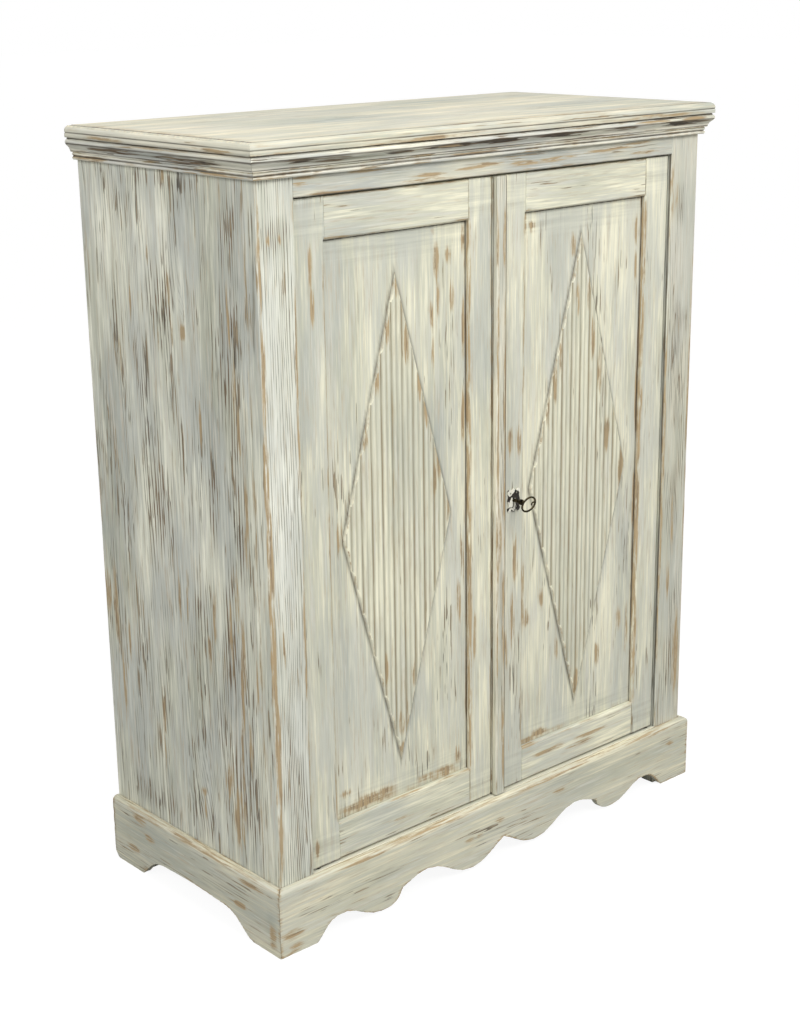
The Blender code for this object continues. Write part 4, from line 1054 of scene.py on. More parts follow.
@dataclass
class Timber:
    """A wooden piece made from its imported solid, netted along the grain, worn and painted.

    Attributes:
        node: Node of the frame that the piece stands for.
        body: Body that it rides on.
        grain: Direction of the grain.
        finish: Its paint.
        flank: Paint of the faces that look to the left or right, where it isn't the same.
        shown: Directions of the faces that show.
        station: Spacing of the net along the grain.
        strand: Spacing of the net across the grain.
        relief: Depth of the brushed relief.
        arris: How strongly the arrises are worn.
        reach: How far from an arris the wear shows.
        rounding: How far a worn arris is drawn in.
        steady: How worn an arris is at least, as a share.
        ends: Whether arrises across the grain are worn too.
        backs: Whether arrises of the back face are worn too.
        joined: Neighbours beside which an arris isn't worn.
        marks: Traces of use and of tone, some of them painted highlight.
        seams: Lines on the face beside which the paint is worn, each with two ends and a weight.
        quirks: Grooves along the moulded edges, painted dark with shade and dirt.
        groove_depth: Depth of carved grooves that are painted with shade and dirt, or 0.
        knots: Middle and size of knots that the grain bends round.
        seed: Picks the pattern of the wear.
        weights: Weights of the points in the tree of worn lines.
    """

    node: str
    body: str
    grain: Axis
    finish: PaintedPine
    flank: PaintedPine | None = None
    shown: tuple[Vector, ...] = (FRONT,)
    station: float = 0.009
    strand: float = 0.0022
    relief: float = 0.00016
    arris: float = 0.8
    reach: float = 0.0026
    rounding: float = 0.0008
    steady: float = 0.15
    ends: bool = False
    backs: bool = True
    joined: tuple[str, ...] = ()
    marks: tuple[Mark, ...] = ()
    seams: tuple[tuple[Vector, Vector, float], ...] = ()
    quirks: tuple[EdgeQuirk | RimQuirk | DiamondLine, ...] = ()
    groove_depth: float = 0.0
    knots: tuple[tuple[Vector, float], ...] = ()
    seed: int = 1
    weights: list[float] = field(init=False, default_factory=list)

    WELD = 0.000002
    FLAT = math.radians(0.4)
    SHARP = math.radians(34)
    SMOOTH = math.radians(32)
    SAMPLE = 0.003
    ARRIS_WIDTH = 0.0028
    UNEVENNESS = 0.0002
    FOOT_SHADE_AND_DIRT = 0.001
    BURL = 5.0
    KNOT_STRETCH = 3.2
    # Lengths of the noises' cells along and across the grain.
    PATCHES = (0.060, 0.030)
    FLECKS = (0.014, 0.008)
    WAVES = (0.180, 0.080)
    STRAND_LENGTH = 0.160
    STRAND_WIDTHS = 2.1
    # How far a normal or an edge must turn one way.
    SHOWN_TURN = 0.3
    STEEP = 0.5
    SIDEWAYS = 0.6
    BACKWARD = 0.7
    ALONG = 0.8
    SQUARE = 0.9

    def build(self) -> bpy.types.Object:
        """Make the piece and hand it to the frame.

        Returns:
            The new object.
        """
        shape = bmesh.new()
        shape.from_mesh(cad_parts[self.node].data)
        bmesh.ops.remove_doubles(shape, verts=shape.verts, dist=self.WELD)
        bmesh.ops.dissolve_limit(shape, angle_limit=self.FLAT, verts=shape.verts, edges=shape.edges)
        tree = self.arris_tree(shape)
        self.net(shape)
        bmesh.ops.recalc_face_normals(shape, faces=shape.faces)
        shape.normal_update()
        places = np.array([vertex.co for vertex in shape.verts])
        normals = np.array([vertex.normal for vertex in shape.verts])
        gaps, weights = self.arris_gaps(tree, places)
        traces = self.traces(places, normals, gaps, weights)
        drop = self.drop(places, normals, gaps, weights, traces["worn"])
        for vertex, moved in zip(shape.verts, places - normals * drop[:, None]):
            vertex.co = moved
        mesh = bpy.data.meshes.new(self.node + "_wood")
        shape.to_mesh(mesh)
        shape.free()
        for name, values in traces.items():
            mesh.attributes.new(name, "FLOAT", "POINT").data.foreach_set("value", values.astype(np.float32))
        mesh.shade_smooth()
        mesh.set_sharp_from_angle(angle=self.SMOOTH)
        self.paint(mesh)
        piece = bpy.data.objects.new(self.node + "_wood", mesh)
        bpy.context.scene.collection.objects.link(piece)
        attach(piece, self.body)
        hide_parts(self.node)
        LOG.info("%s: %d faces", piece.name, len(mesh.polygons))
        return piece

    def paint(self, mesh: bpy.types.Mesh) -> None:
        """Give the mesh its paint, and the faces to the left and right theirs.

        Args:
            mesh: The finished mesh.
        """
        mesh.materials.append(self.finish.material())
        if self.flank:
            mesh.materials.append(self.flank.material())
            sideways = [int(abs(polygon.normal.x) > self.SIDEWAYS) for polygon in mesh.polygons]
            mesh.polygons.foreach_set("material_index", sideways)

    def faces_shown(self, face: bmesh.types.BMFace) -> bool:
        """True where a face turns towards one of the shown directions."""
        return any(face.normal.dot(direction) > self.SHOWN_TURN for direction in self.shown)

    def arris_tree(self, shape: bmesh.types.BMesh) -> KDTree | None:
        """Collect points along the arrises that wear.

        Args:
            shape: The plain solid.

        Returns:
            A tree whose points carry their weight as an index, or None where nothing wears.
        """
        spots = []
        for edge in shape.edges:
            if len(edge.link_faces) != 2 or edge.calc_face_angle_signed(0.0) < self.SHARP:
                continue
            run = edge.verts[1].co - edge.verts[0].co
            along = abs(run[self.grain.value]) > self.ALONG * run.length
            if not (along or self.ends) or not any(self.faces_shown(face) for face in edge.link_faces):
                continue
            if not self.backs and any(face.normal.y > self.BACKWARD for face in edge.link_faces):
                continue
            spots += self.line_spots(edge.verts[0].co, edge.verts[1].co, 1.0)
        neighbours = [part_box(node) for node in self.joined]
        spots = [(spot, weight) for spot, weight in spots if not self.beside(spot, neighbours)]
        for start, end, weight in self.seams:
            spots += self.line_spots(start, end, weight)
        if not spots:
            return None
        tree = KDTree(len(spots))
        for index, (spot, weight) in enumerate(spots):
            tree.insert(spot, index)
            self.weights.append(weight)
        tree.balance()
        return tree

    @staticmethod
    def beside(spot: Vector, boxes: list[tuple[Vector, Vector]]) -> bool:
        """Tell whether a point lies on or in one of the boxes.

        Args:
            spot: The point.
            boxes: Lower and upper corner of each box.

        Returns:
            True where it does.
        """
        for low, high in boxes:
            if all(low[axis] - MM < spot[axis] < high[axis] + MM for axis in range(3)):
                return True
        return False

    def line_spots(self, start: Vector, end: Vector, weight: float) -> list[tuple[Vector, float]]:
        """Evenly spaced points of a line with its weight.

        Args:
            start: First end.
            end: Second end.
            weight: Weight of the line.

        Returns:
            Pairs of a point and the weight.
        """
        count = max(1, math.ceil((end - start).length / self.SAMPLE))
        return [(start.lerp(end, step / count), weight) for step in range(count + 1)]

    def net(self, shape: bmesh.types.BMesh) -> None:
        """Cut the solid by planes across its grain, and its shown faces along the grain.

        Args:
            shape: The plain solid, which is cut in place.
        """
        low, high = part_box(self.node)
        for axis in (self.grain, *(axis for axis in Axis if axis is not self.grain)):
            spacing = self.station if axis is self.grain else self.strand
            levels = self.levels(low[axis.value], high[axis.value], spacing)
            for quirk in self.quirks:
                levels += quirk.levels(axis, low, high)
            faces = list(shape.faces)
            if axis is not self.grain:
                faces = [face for face in faces if self.faces_shown(face)]
                faces = [face for face in faces if abs(face.normal[axis.value]) < self.STEEP]
            self.slice(shape, faces, axis, sorted(levels))

    @staticmethod
    def levels(low: float, high: float, spacing: float) -> list[float]:
        """Evenly spaced levels between two ends, without the ends."""
        count = max(1, round((high - low) / spacing))
        return [low + (high - low) * step / count for step in range(1, count)]

    def slice(self, shape: bmesh.types.BMesh, faces: list, axis: Axis, levels: list[float]) -> None:
        """Cut faces at levels along an axis, from low to high.

        Args:
            shape: Holds the faces.
            faces: Faces to cut.
            axis: Axis that the levels lie on.
            levels: The levels in rising order.
        """
        index = axis.value
        direction = Vector(tuple(1.0 if other == index else 0.0 for other in range(3)))
        waiting = [[] for _level in levels]
        for face in faces:
            self.queue(face, index, levels, waiting)
        for level, crossed in zip(levels, waiting):
            if not crossed:
                continue
            edges = {edge for face in crossed for edge in face.edges}
            corners = {vertex for face in crossed for vertex in face.verts}
            cut = bmesh.ops.bisect_plane(
                shape, geom=[*crossed, *edges, *corners], dist=self.WELD / 2,
                plane_co=direction * level, plane_no=direction,
            )
            for item in cut["geom"]:
                if isinstance(item, bmesh.types.BMFace) and item.calc_center_median()[index] > level:
                    self.queue(item, index, levels, waiting)

    def queue(self, face: bmesh.types.BMFace, index: int, levels: list[float], waiting: list[list]) -> None:
        """Put a face with the first level that crosses it.

        Args:
            face: The face.
            index: Index of the axis that the levels lie on.
            levels: The levels in rising order.
            waiting: Faces that wait for each level.
        """
        heights = [vertex.co[index] for vertex in face.verts]
        step = bisect_right(levels, min(heights) + self.WELD)
        if step < len(levels) and levels[step] < max(heights) - self.WELD:
            waiting[step].append(face)

    def arris_gaps(self, tree: KDTree | None, places: np.ndarray) -> tuple[np.ndarray, np.ndarray]:
        """Distance of each point from the nearest worn line, and that line's weight.

        Args:
            tree: Points of the worn lines.
            places: Points of the net.

        Returns:
            The distances and the weights.
        """
        if tree is None:
            return np.ones(len(places)), np.zeros(len(places))
        gaps = np.empty(len(places))
        weights = np.empty(len(places))
        for row, place in enumerate(places):
            _spot, index, gap = tree.find(place)
            gaps[row] = gap
            weights[row] = self.weights[index]
        return gaps, weights

    def traces(
        self, places: np.ndarray, normals: np.ndarray, gaps: np.ndarray, weights: np.ndarray
    ) -> dict[str, np.ndarray]:
        """Work out the traces that the paint follows.

        Args:
            places: Points of the net.
            normals: Their normals.
            gaps: Distances from the worn lines.
            weights: Weights of the worn lines.

        Returns:
            A value for each point, by name of the trace.
        """
        patchy = 0.6 * smooth_noise(places, by_grain(self.grain, *self.PATCHES), self.seed)
        patchy += 0.4 * smooth_noise(places, by_grain(self.grain, *self.FLECKS), self.seed + 7)
        near = np.clip(1.0 - gaps / (self.reach * (0.4 + 0.9 * patchy)), 0.0, 1.0)
        found = {trace.value: np.zeros(len(places)) for trace in Trace}
        found["worn"] = near * self.arris * weights * np.clip((patchy - 0.30) * 2.4, self.steady, 1.2)
        for mark in self.marks:
            name = mark.trace.value
            found[name] = np.maximum(found[name], mark.strengths(places, normals))
        found["burl"] = self.burl(places)
        found["groove"] = np.zeros(len(places))
        found["crease"] = np.zeros(len(places))
        if self.groove_depth:
            self.soil_and_shade_reeds(found, places, normals)
        # Quirks add painted shade with dirt along their grooves and lines.
        for quirk in self.quirks:
            found["crease"] = np.maximum(found["crease"], 0.95 * quirk.profile(places, normals))
        return found

    def burl(self, places: np.ndarray) -> np.ndarray:
        """How far the knots bend the growth lines at each point.

        Args:
            places: Points of the net.

        Returns:
            One value for each point.
        """
        total = np.zeros(len(places))
        for middle, size in self.knots:
            offset = places - np.array(middle)
            offset[:, self.grain.value] /= self.KNOT_STRETCH
            span = np.linalg.norm(offset, axis=1) / size
            total += self.BURL * np.exp(-span * span / 2)
        return total

    def soil_and_shade_reeds(self, found: dict[str, np.ndarray], places: np.ndarray, normals: np.ndarray) -> None:
        """Put painted shade and dirt in the carved reeds and at the piece's foot, a painted grey shade deeper
        down the reeds, and a painted highlight in pale on the bevels.

        Args:
            found: Traces by name, which are changed.
            places: Points of the net.
            normals: Their normals.
        """
        upright = np.abs(normals[:, 2])
        carved = (normals[:, 1] < -0.15) & (upright < 0.06)
        bevel = (normals[:, 1] > -0.92) & (upright > 0.08)
        cut = np.clip((places[:, 1] - places[:, 1].min()) / self.groove_depth, 0.0, 1.0)
        foot = np.clip(1.0 - (places[:, 1].max() - places[:, 1]) / self.FOOT_SHADE_AND_DIRT, 0.0, 1.0)
        # Deeper parts of the reeds are painted darker and greyer as shade with dirt; the bevels are painted
        # pale as a highlight.
        found["groove"] = np.where(carved, 0.95 * cut ** 2.0, 0.0)
        found["grey"] = np.where(carved, 1.2 * cut ** 0.7, 0.4 * found["grey"])
        found["crease"] = 0.75 * foot
        found["pale"] = np.where(bevel, 1.0 - foot, found["pale"])

    def drop(
        self, places: np.ndarray, normals: np.ndarray, gaps: np.ndarray, weights: np.ndarray, worn: np.ndarray
    ) -> np.ndarray:
        """How far each point is drawn in from the plain solid.

        Args:
            places: Points of the net.
            normals: Their normals.
            gaps: Distances from the worn lines.
            weights: Weights of the worn lines.
            worn: How worn each point is.

        Returns:
            The distances, none of them negative.
        """
        cell = by_grain(self.grain, self.STRAND_LENGTH, self.strand * self.STRAND_WIDTHS)
        strands = smooth_noise(places, cell, self.seed + 3)
        waves = smooth_noise(places, by_grain(self.grain, *self.WAVES), self.seed + 5)
        facing = np.zeros(len(places), dtype=bool)
        for direction in self.shown:
            if abs(direction[self.grain.value]) < self.STEEP:
                facing |= normals @ np.array(direction) > self.SQUARE
        drop = np.where(facing, strands * self.relief + waves * self.UNEVENNESS, 0.0)
        rounding = np.clip(1.0 - gaps / self.ARRIS_WIDTH, 0.0, 1.0) ** 2
        drop += rounding * weights * self.rounding * np.clip(0.25 + worn, 0.0, 1.0)
        for quirk in self.quirks:
            drop += quirk.profile(places, normals) * quirk.depth
        return drop


def dress_node(node: str, material: bpy.types.Material) -> None:
    """Give a carried-over node its finish.

    Args:
        node: Name of the node.
        material: Its material.
    """
    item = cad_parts[node]
    item.data.materials.clear()
    item.data.materials.append(material)
    LOG.info("%s: dressed as %s", node, material.name)


def side_paint(side: Side) -> PaintedPine:
    """Paint of a side board, which the pilaster's flank shares.

    Args:
        side: Which board.

    Returns:
        The paint.
    """
    return PaintedPine(
        side.word + "_side_paint", Axis.Z, grey=0.40, blue=0.50, contrast=1.35, bristle=2.6, spread=1.5,
        rings=0.75, ring=0.0064, strokes=0.60, rubbed=0.15, light=(0.89, 0.89, 0.745),
    )


@dataclass
class Carcass:
    """Side boards and front frame of the cabinet.

    Attributes:
        seed: Picks the pattern of the wear.
        knots: Left board's knots in millimetres, behind the face and above the floor, and their sizes.
        gap_middle: How far behind the face the right pilaster's line of painted shade and dirt lies.
        gap_half: Half that line's width.
        sill_rise: How far above the frieze rail's lower edge its line of painted shade and dirt lies.
        sill_half: Half that line's width.
    """

    seed: int = 11
    knots: Places = ((190, 118, 30), (184, 938, 12))
    gap_middle: float = 0.0040
    gap_half: float = 0.0030
    sill_rise: float = 0.0008
    sill_half: float = 0.0014

    def build(self) -> None:
        """Build the side boards, the pilasters and the frieze rail."""
        for side in Side:
            self.side_board(side)
            self.pilaster(side)
        self.frieze()

    def side_board(self, side: Side) -> None:
        """Build a side board with its weathered strokes.

        Args:
            side: Which board.
        """
        left = side is Side.LEFT
        Timber(
            side.word + "_side_board", "carcass", Axis.Z, side_paint(side), shown=(LEFT if left else RIGHT,),
            relief=0.00030, arris=0.5, joined=(side.word + "_pilaster",),
            marks=self.flank_marks() if left else (), knots=self.board_knots() if left else (),
            seed=self.seed + side.value,
        ).build()

    def board_knots(self) -> tuple[tuple[Vector, float], ...]:
        """Place the left board's knots in the frame.

        Returns:
            The middle and the size of each.
        """
        return tuple(
            (Vector((-HALF_WIDTH, FACE_Y + y * MM, z * MM)), size * MM) for y, z, size in self.knots
        )

    @staticmethod
    def flank_marks() -> tuple[Mark, ...]:
        """Marks on the left side, in millimetres behind the face and above the floor.

        Returns:
            The marks.
        """
        worn = (
            (184, 938, 9, 13), (212, 937, 4, 34), (216, 1003, 4, 38), (249, 917, 3, 20), (266, 1041, 3, 16),
            (72, 980, 4, 60), (66, 880, 5, 70), (58, 800, 4, 50), (46, 700, 4, 60), (52, 640, 4, 40),
            (434, 478, 11, 44), (412, 440, 7, 90), (400, 330, 5, 70), (76, 400, 6, 70), (82, 296, 6, 60),
            (68, 470, 5, 70), (80, 550, 5, 60), (98, 500, 4, 60), (118, 250, 12, 34), (96, 190, 17, 60),
            (190, 205, 11, 9), (188, 172, 4, 22), (138, 506, 6, 50), (155, 445, 6, 40), (215, 1160, 5, 13),
            (290, 280, 5, 60), (355, 887, 4, 40), (60, 330, 4, 60), (152, 813, 4, 40), (37, 424, 3, 50),
            (208, 536, 3, 50), (228, 515, 3, 40), (40, 211, 4, 40), (319, 968, 3, 40), (377, 407, 4, 50),
        )
        lined = (
            (100, 470, 30, 130), (76, 900, 26, 190), (186, 165, 40, 60), (80, 240, 40, 120),
            (62, 660, 18, 120), (72, 1080, 20, 70), (214, 980, 14, 60),
        )
        dark = (
            (240, 1000, 40, 110), (240, 1154, 130, 18), (280, 640, 50, 130), (330, 150, 90, 30),
            (140, 330, 30, 110), (176, 520, 20, 90), (300, 860, 24, 80), (410, 640, 20, 120),
            (130, 700, 16, 80), (200, 760, 14, 60),
        )
        grey = (
            (400, 700, 80, 480), (110, 900, 60, 200), (260, 1140, 180, 36), (200, 420, 120, 160),
            (330, 250, 120, 160), (70, 640, 60, 120),
        )
        pale = (
            (30, 1100, 50, 80), (300, 560, 50, 200), (330, 900, 70, 200), (160, 640, 50, 160),
            (30, 160, 30, 80), (230, 1060, 90, 110), (370, 1080, 60, 110), (150, 980, 40, 120),
        )
        return grouped(
            on_flank, (Trace.WORN, 0.80, worn), (Trace.DARK, 1.6, lined), (Trace.DARK, 1.3, dark),
            (Trace.GREY, 0.40, grey), (Trace.PALE, 0.45, pale),
        )

    def pilaster(self, side: Side) -> None:
        """Build a pilaster, its outer arris rubbed through.

        Args:
            side: Which pilaster.
        """
        left = side is Side.LEFT
        finish = PaintedPine(
            side.word + "_pilaster_paint", Axis.Z, grey=0.26 if left else 0.42, blue=0.32, contrast=0.9,
            rings=1.05 if left else 0.7, ring=0.0046, strokes=0.22 if left else 0.30,
            light=(0.875, 0.88, 0.765) if left else CREAM,
        )
        word = side.word
        joined = (word + "_side_board", "frieze_rail")
        # A line of painted shade and dirt in the gap beside the right door.
        gap = EdgeQuirk(FACE_Y + self.gap_middle, self.gap_half, depth=0.0, across=Axis.Y)
        flank = self.flank_marks() if left else ()
        Timber(
            word + "_pilaster", "carcass", Axis.Z, finish, flank=side_paint(side), shown=(FRONT, LEFT, RIGHT),
            relief=0.00034, arris=0.9, reach=0.0032, steady=0.4, joined=joined,
            marks=(*self.pilaster_marks(side), *flank),
            quirks=() if left else (gap,), seed=self.seed + 4 + side.value,
        ).build()

    @staticmethod
    def pilaster_marks(side: Side) -> tuple[Mark, ...]:
        """Marks on the front of a pilaster.

        Args:
            side: Which pilaster.

        Returns:
            The marks.
        """
        if side is Side.LEFT:
            worn = (
                (-461, 1050, 2.5, 120), (-460, 900, 4.5, 90), (-460, 760, 3.5, 80), (-459, 640, 5.0, 110),
                (-459, 470, 6.0, 100), (-458, 330, 6.5, 120), (-459, 190, 4.5, 60), (-402, 860, 2.5, 200),
                (-402, 480, 2.5, 160), (-445, 1087, 4, 8), (-425, 1085, 3, 8), (-441, 491, 3, 30),
            )
            dark = (
                (-430, 230, 34, 130), (-430, 1090, 30, 30), (-438, 331, 6, 60), (-425, 162, 10, 50),
                (-405, 188, 8, 60),
            )
            grey = ((-425, 170, 44, 160), (-430, 420, 44, 120), (-430, 1080, 40, 40))
            pale = ((-432, 820, 50, 420),)
        else:
            worn = (
                (401, 560, 3.5, 360), (450, 240, 10, 100), (430, 500, 4, 50), (424, 389, 4, 50),
                (415, 1063, 4, 30), (404, 1080, 3, 60), (462, 700, 3, 300),
            )
            dark = (
                (425, 1062, 28, 44), (432, 858, 22, 50), (444, 260, 30, 130), (436, 560, 30, 120),
                (430, 760, 24, 120), (462, 200, 20, 120),
            )
            grey = ((430, 600, 50, 300), (440, 1060, 40, 60), (430, 180, 40, 60))
            pale = ((415, 960, 20, 90), (420, 700, 16, 160))
        return grouped(
            on_front, (Trace.WORN, 0.92, worn), (Trace.DARK, 1.1, dark), (Trace.GREY, 0.40, grey),
            (Trace.PALE, 0.40, pale),
        )

    def frieze(self) -> None:
        """Build the frieze rail over the doors."""
        finish = PaintedPine(
            "frieze_paint", Axis.X, grey=0.40, blue=0.60, contrast=1.2, rings=0.45, ring=0.0052, strokes=0.30,
            rubbed=0.20,
        )
        worn = (
            (-378, 1166, 30, 4.5), (-386, 1157, 18, 4), (-265, 1166, 46, 3), (-65, 1153, 46, 3.5),
            (-23, 1156, 34, 4), (221, 1157, 40, 3.5), (269, 1160, 40, 3.5), (317, 1163, 40, 3.5),
            (120, 1153, 50, 4), (51, 1152, 34, 4), (-150, 1143, 60, 3), (330, 1148, 40, 3),
            (-330, 1141, 60, 3), (-146, 1150, 40, 3),
        )
        dark = ((-60, 1157, 70, 10), (-300, 1166, 90, 6), (300, 1160, 70, 8), (-378, 1160, 26, 12))
        grey = ((-200, 1158, 120, 14), (100, 1160, 110, 12), (250, 1150, 120, 8))
        marks = grouped(on_front, (Trace.WORN, 0.85, worn), (Trace.DARK, 1.0, dark), (Trace.GREY, 0.4, grey))
        # A line of painted shade and dirt along the rail's lower edge, over the doors.
        sill = EdgeQuirk(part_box("frieze_rail")[0].z + self.sill_rise, self.sill_half, depth=0.0)
        Timber(
            "frieze_rail", "carcass", Axis.X, finish, shown=(FRONT, DOWN), relief=0.00022, arris=0.9,
            joined=("left_pilaster", "right_pilaster", "cornice_front"), marks=marks, quirks=(sill,),
            seed=self.seed + 9,
        ).build()


@dataclass
class Mouldings:
    """Top board, cornice and plinth.

    Attributes:
        seed: Picks the pattern of the wear.
        scribe: Groove scribed on the top board along its rim.
        rim_rise: How far above the top board's lower face the groove in its edge lies.
        rim_half: Half that groove's width.
        rim_depth: Its depth.
        cornice_lines: Grooves of the cornice, painted dark with shade and dirt, each with its drop from the
            top and half its width.
        line_depth: Their depth.
    """

    seed: int = 31
    scribe: RimQuirk = RimQuirk(inset=0.0104, half=0.0040, depth=0.0008)
    rim_rise: float = 0.0072
    rim_half: float = 0.0013
    rim_depth: float = 0.0013
    cornice_lines: Places = ((0.0010, 0.0018), (0.0090, 0.0019), (0.0202, 0.0014), (0.0278, 0.0014))
    line_depth: float = 0.0003

    def build(self) -> None:
        """Build the top board, the cornice and the plinth."""
        self.top()
        self.cornice()
        self.plinth()

    def top(self) -> None:
        """Build the top board, with its scribed edge."""
        finish = PaintedPine(
            "top_paint", Axis.X, grey=0.42, blue=0.25, contrast=2.0, bristle=3.0, rings=0.15, rubbed=0.25,
            light=(0.795, 0.74, 0.56),
        )
        flank = PaintedPine(
            "top_end_paint", Axis.Y, grey=0.26, blue=0.2, contrast=0.9, rings=0.25, strokes=0.1
        )
        low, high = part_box("top_board")
        # Both grooves of the top board are painted dark with shade and dirt.
        quirks = (self.scribe, EdgeQuirk(low.z + self.rim_rise, self.rim_half, self.rim_depth))
        edge = (high.z + low.z) / 2 / MM
        foot = low.z / MM
        marks = (
            on_front(Trace.DARK, -180, edge, 160, 9, 0.9), on_front(Trace.DARK, 250, edge, 180, 9, 1.1),
            on_flank(Trace.DARK, 250, edge, 160, 9, 0.9), on_front(Trace.WORN, -160, foot + 2, 120, 4, 0.9),
            on_front(Trace.WORN, 330, foot + 3, 140, 4, 0.8), on_flank(Trace.WORN, 60, foot + 3, 70, 4, 0.9),
            on_flank(Trace.WORN, 340, foot + 3, 70, 4, 0.8),
            Mark(Trace.GREY, UP, (-0.22, 0.02, high.z), (0.20, 0.09, 0.03), 0.8),
            Mark(Trace.GREY, UP, (0.15, 0.16, high.z), (0.30, 0.07, 0.03), 0.8),
            Mark(Trace.GREY, UP, (0.25, -0.06, high.z), (0.20, 0.05, 0.03), 0.6),
            Mark(Trace.WORN, UP, (0.10, FACE_Y, high.z), (0.60, 0.016, 0.03), 0.34),
            Mark(Trace.WORN, UP, (-HALF_WIDTH, 0.02, high.z), (0.016, 0.30, 0.03), 0.34),
        )
        Timber(
            "top_board", "carcass", Axis.X, finish, flank=flank, shown=(UP, FRONT, LEFT, RIGHT),
            station=0.012, strand=0.0035, relief=0.00014, arris=0.7, reach=0.0025, quirks=quirks, marks=marks,
            seed=self.seed,
        ).build()

    def cornice(self) -> None:
        """Build the three runs of the cornice."""
        runs = (
            ("cornice_front", Axis.X, (FRONT, DOWN), self.front_marks()),
            ("cornice_left", Axis.Y, (LEFT, DOWN), self.flank_cove_marks()),
            ("cornice_right", Axis.Y, (RIGHT, DOWN), ()),
        )
        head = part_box("cornice_front")[1].z
        # Lines of painted shade and dirt in the cornice's grooves.
        shade_and_dirt_lines = tuple(EdgeQuirk(head - drop, half, self.line_depth) for drop, half in self.cornice_lines)
        for count, (node, grain, shown, marks) in enumerate(runs):
            finish = PaintedPine(
                node + "_paint", grain, grey=0.14, blue=0.60, contrast=1.6, rings=0.40, ring=0.0056,
                strokes=0.65, rubbed=0.05, light=(0.92, 0.885, 0.735),
            )
            Timber(
                node, "carcass", grain, finish, shown=shown, station=0.007, strand=0.0016, relief=0.00020,
                arris=0.8, reach=0.0022, quirks=shade_and_dirt_lines, marks=marks, seed=self.seed + 5 + count,
            ).build()

    @staticmethod
    def front_marks() -> tuple[Mark, ...]:
        """Marks along the front cornice, most of them in its cove.

        Returns:
            The marks.
        """
        cove = (
            (-330, 1187, 60, 5, 1.6), (-230, 1189, 60, 4, 3.8), (-120, 1190, 70, 4, 5.2),
            (-20, 1191, 70, 4, 5.2), (110, 1191, 80, 4, 4.0), (250, 1190, 80, 4, 2.4),
            (400, 1190, 80, 5, 4.4), (340, 1198, 60, 3, 2.8), (-400, 1190, 40, 4, 2.4),
            (60, 1201, 80, 3, 2.4), (-160, 1181, 120, 2, 2.6), (200, 1182, 120, 2, 2.2),
        )
        worn = (
            (-120, 1191, 30, 2.5), (330, 1196, 60, 3), (430, 1196, 40, 4), (-60, 1176, 60, 3),
            (240, 1178, 70, 3),
        )
        grey = ((-300, 1186, 140, 8), (120, 1187, 120, 8), (-60, 1186, 80, 8))
        return (
            *(on_front(Trace.DARK, *place, 1.3 * strength) for *place, strength in cove),
            *grouped(on_front, (Trace.WORN, 0.70, worn), (Trace.GREY, 1.2, grey)),
        )

    @staticmethod
    def flank_cove_marks() -> tuple[Mark, ...]:
        """Marks along the left cornice.

        Returns:
            The marks.
        """
        return (
            on_flank(Trace.DARK, 330, 1187, 90, 6, 3.6), on_flank(Trace.DARK, 120, 1187, 110, 6, 3.0),
            on_flank(Trace.WORN, 380, 1172, 40, 5, 0.9), on_flank(Trace.WORN, 60, 1171, 60, 4, 0.7),
            on_flank(Trace.WORN, 200, 1200, 90, 4, 0.6), on_flank(Trace.GREY, 200, 1186, 240, 9, 1.2),
        )

    def plinth(self) -> None:
        """Build the plinth boards."""
        boards = (
            ("plinth_front", Axis.X, (FRONT, UP, DOWN), self.plinth_front_marks()),
            ("plinth_left", Axis.Y, (LEFT, UP, DOWN), self.plinth_flank_marks()),
            ("plinth_right", Axis.Y, (RIGHT, UP, DOWN), ()),
        )
        for count, (node, grain, shown, marks) in enumerate(boards):
            finish = PaintedPine(
                node + "_paint", grain, grey=0.46, blue=0.25, contrast=1.2, bristle=2.4, rings=0.25,
                ring=0.0060, strokes=0.25, rubbed=0.15, light=(0.81, 0.77, 0.585),
            )
            Timber(
                node, "carcass", grain, finish, shown=shown, station=0.007, strand=0.0026, relief=0.00020,
                arris=1.1, reach=0.0034, ends=True, marks=marks, seed=self.seed + 15 + count,
            ).build()

    @staticmethod
    def plinth_front_marks() -> tuple[Mark, ...]:
        """Marks on the front plinth board.

        Returns:
            The marks.
        """
        worn = (
            (-452, 34, 26, 9), (-446, 10, 18, 8), (-10, 72, 12, 6), (136, 78, 20, 5), (-80, 60, 14, 5),
            (-57, 60, 10, 4), (-300, 106, 80, 3), (100, 107, 140, 3), (380, 106, 60, 3), (430, 74, 12, 5),
        )
        dark = (
            (-257, 64, 50, 14), (415, 84, 34, 13), (-57, 66, 34, 12), (346, 80, 60, 9), (-257, 22, 16, 10),
            (-430, 60, 30, 14),
        )
        # The pale rows along the rounded top edge are painted highlight; the last is a pale patch of paint.
        pale = ((-200, 109, 300, 8), (250, 109, 260, 8), (0, 40, 90, 14))
        return (
            *grouped(on_front, (Trace.WORN, 0.9, worn), (Trace.DARK, 1.3, dark), (Trace.PALE, 0.9, pale)),
            on_front(Trace.GREY, -300, 70, 160, 26, 0.3), on_front(Trace.WORN, -200, 112, 290, 8, 0.36),
            on_front(Trace.WORN, 260, 112, 240, 8, 0.36),
        )

    @staticmethod
    def plinth_flank_marks() -> tuple[Mark, ...]:
        """Marks on the left plinth board.

        Returns:
            The marks.
        """
        worn = (
            (361, 97, 24, 10), (334, 70, 18, 9), (384, 36, 20, 9), (88, 52, 18, 8), (60, 97, 40, 6),
            (6, 30, 8, 24), (240, 108, 60, 3), (150, 107, 50, 3),
        )
        # The pale mark along the top edge is a painted highlight.
        return (
            *grouped(on_flank, (Trace.WORN, 0.9, worn)),
            on_flank(Trace.PALE, 200, 109, 240, 8, 0.9), on_flank(Trace.GREY, 250, 60, 200, 40, 0.4),
            on_flank(Trace.DARK, 130, 60, 90, 30, 0.8), on_flank(Trace.GREY, 10, 40, 16, 40, 0.5),
            on_flank(Trace.WORN, 220, 110, 240, 9, 0.40),
        )


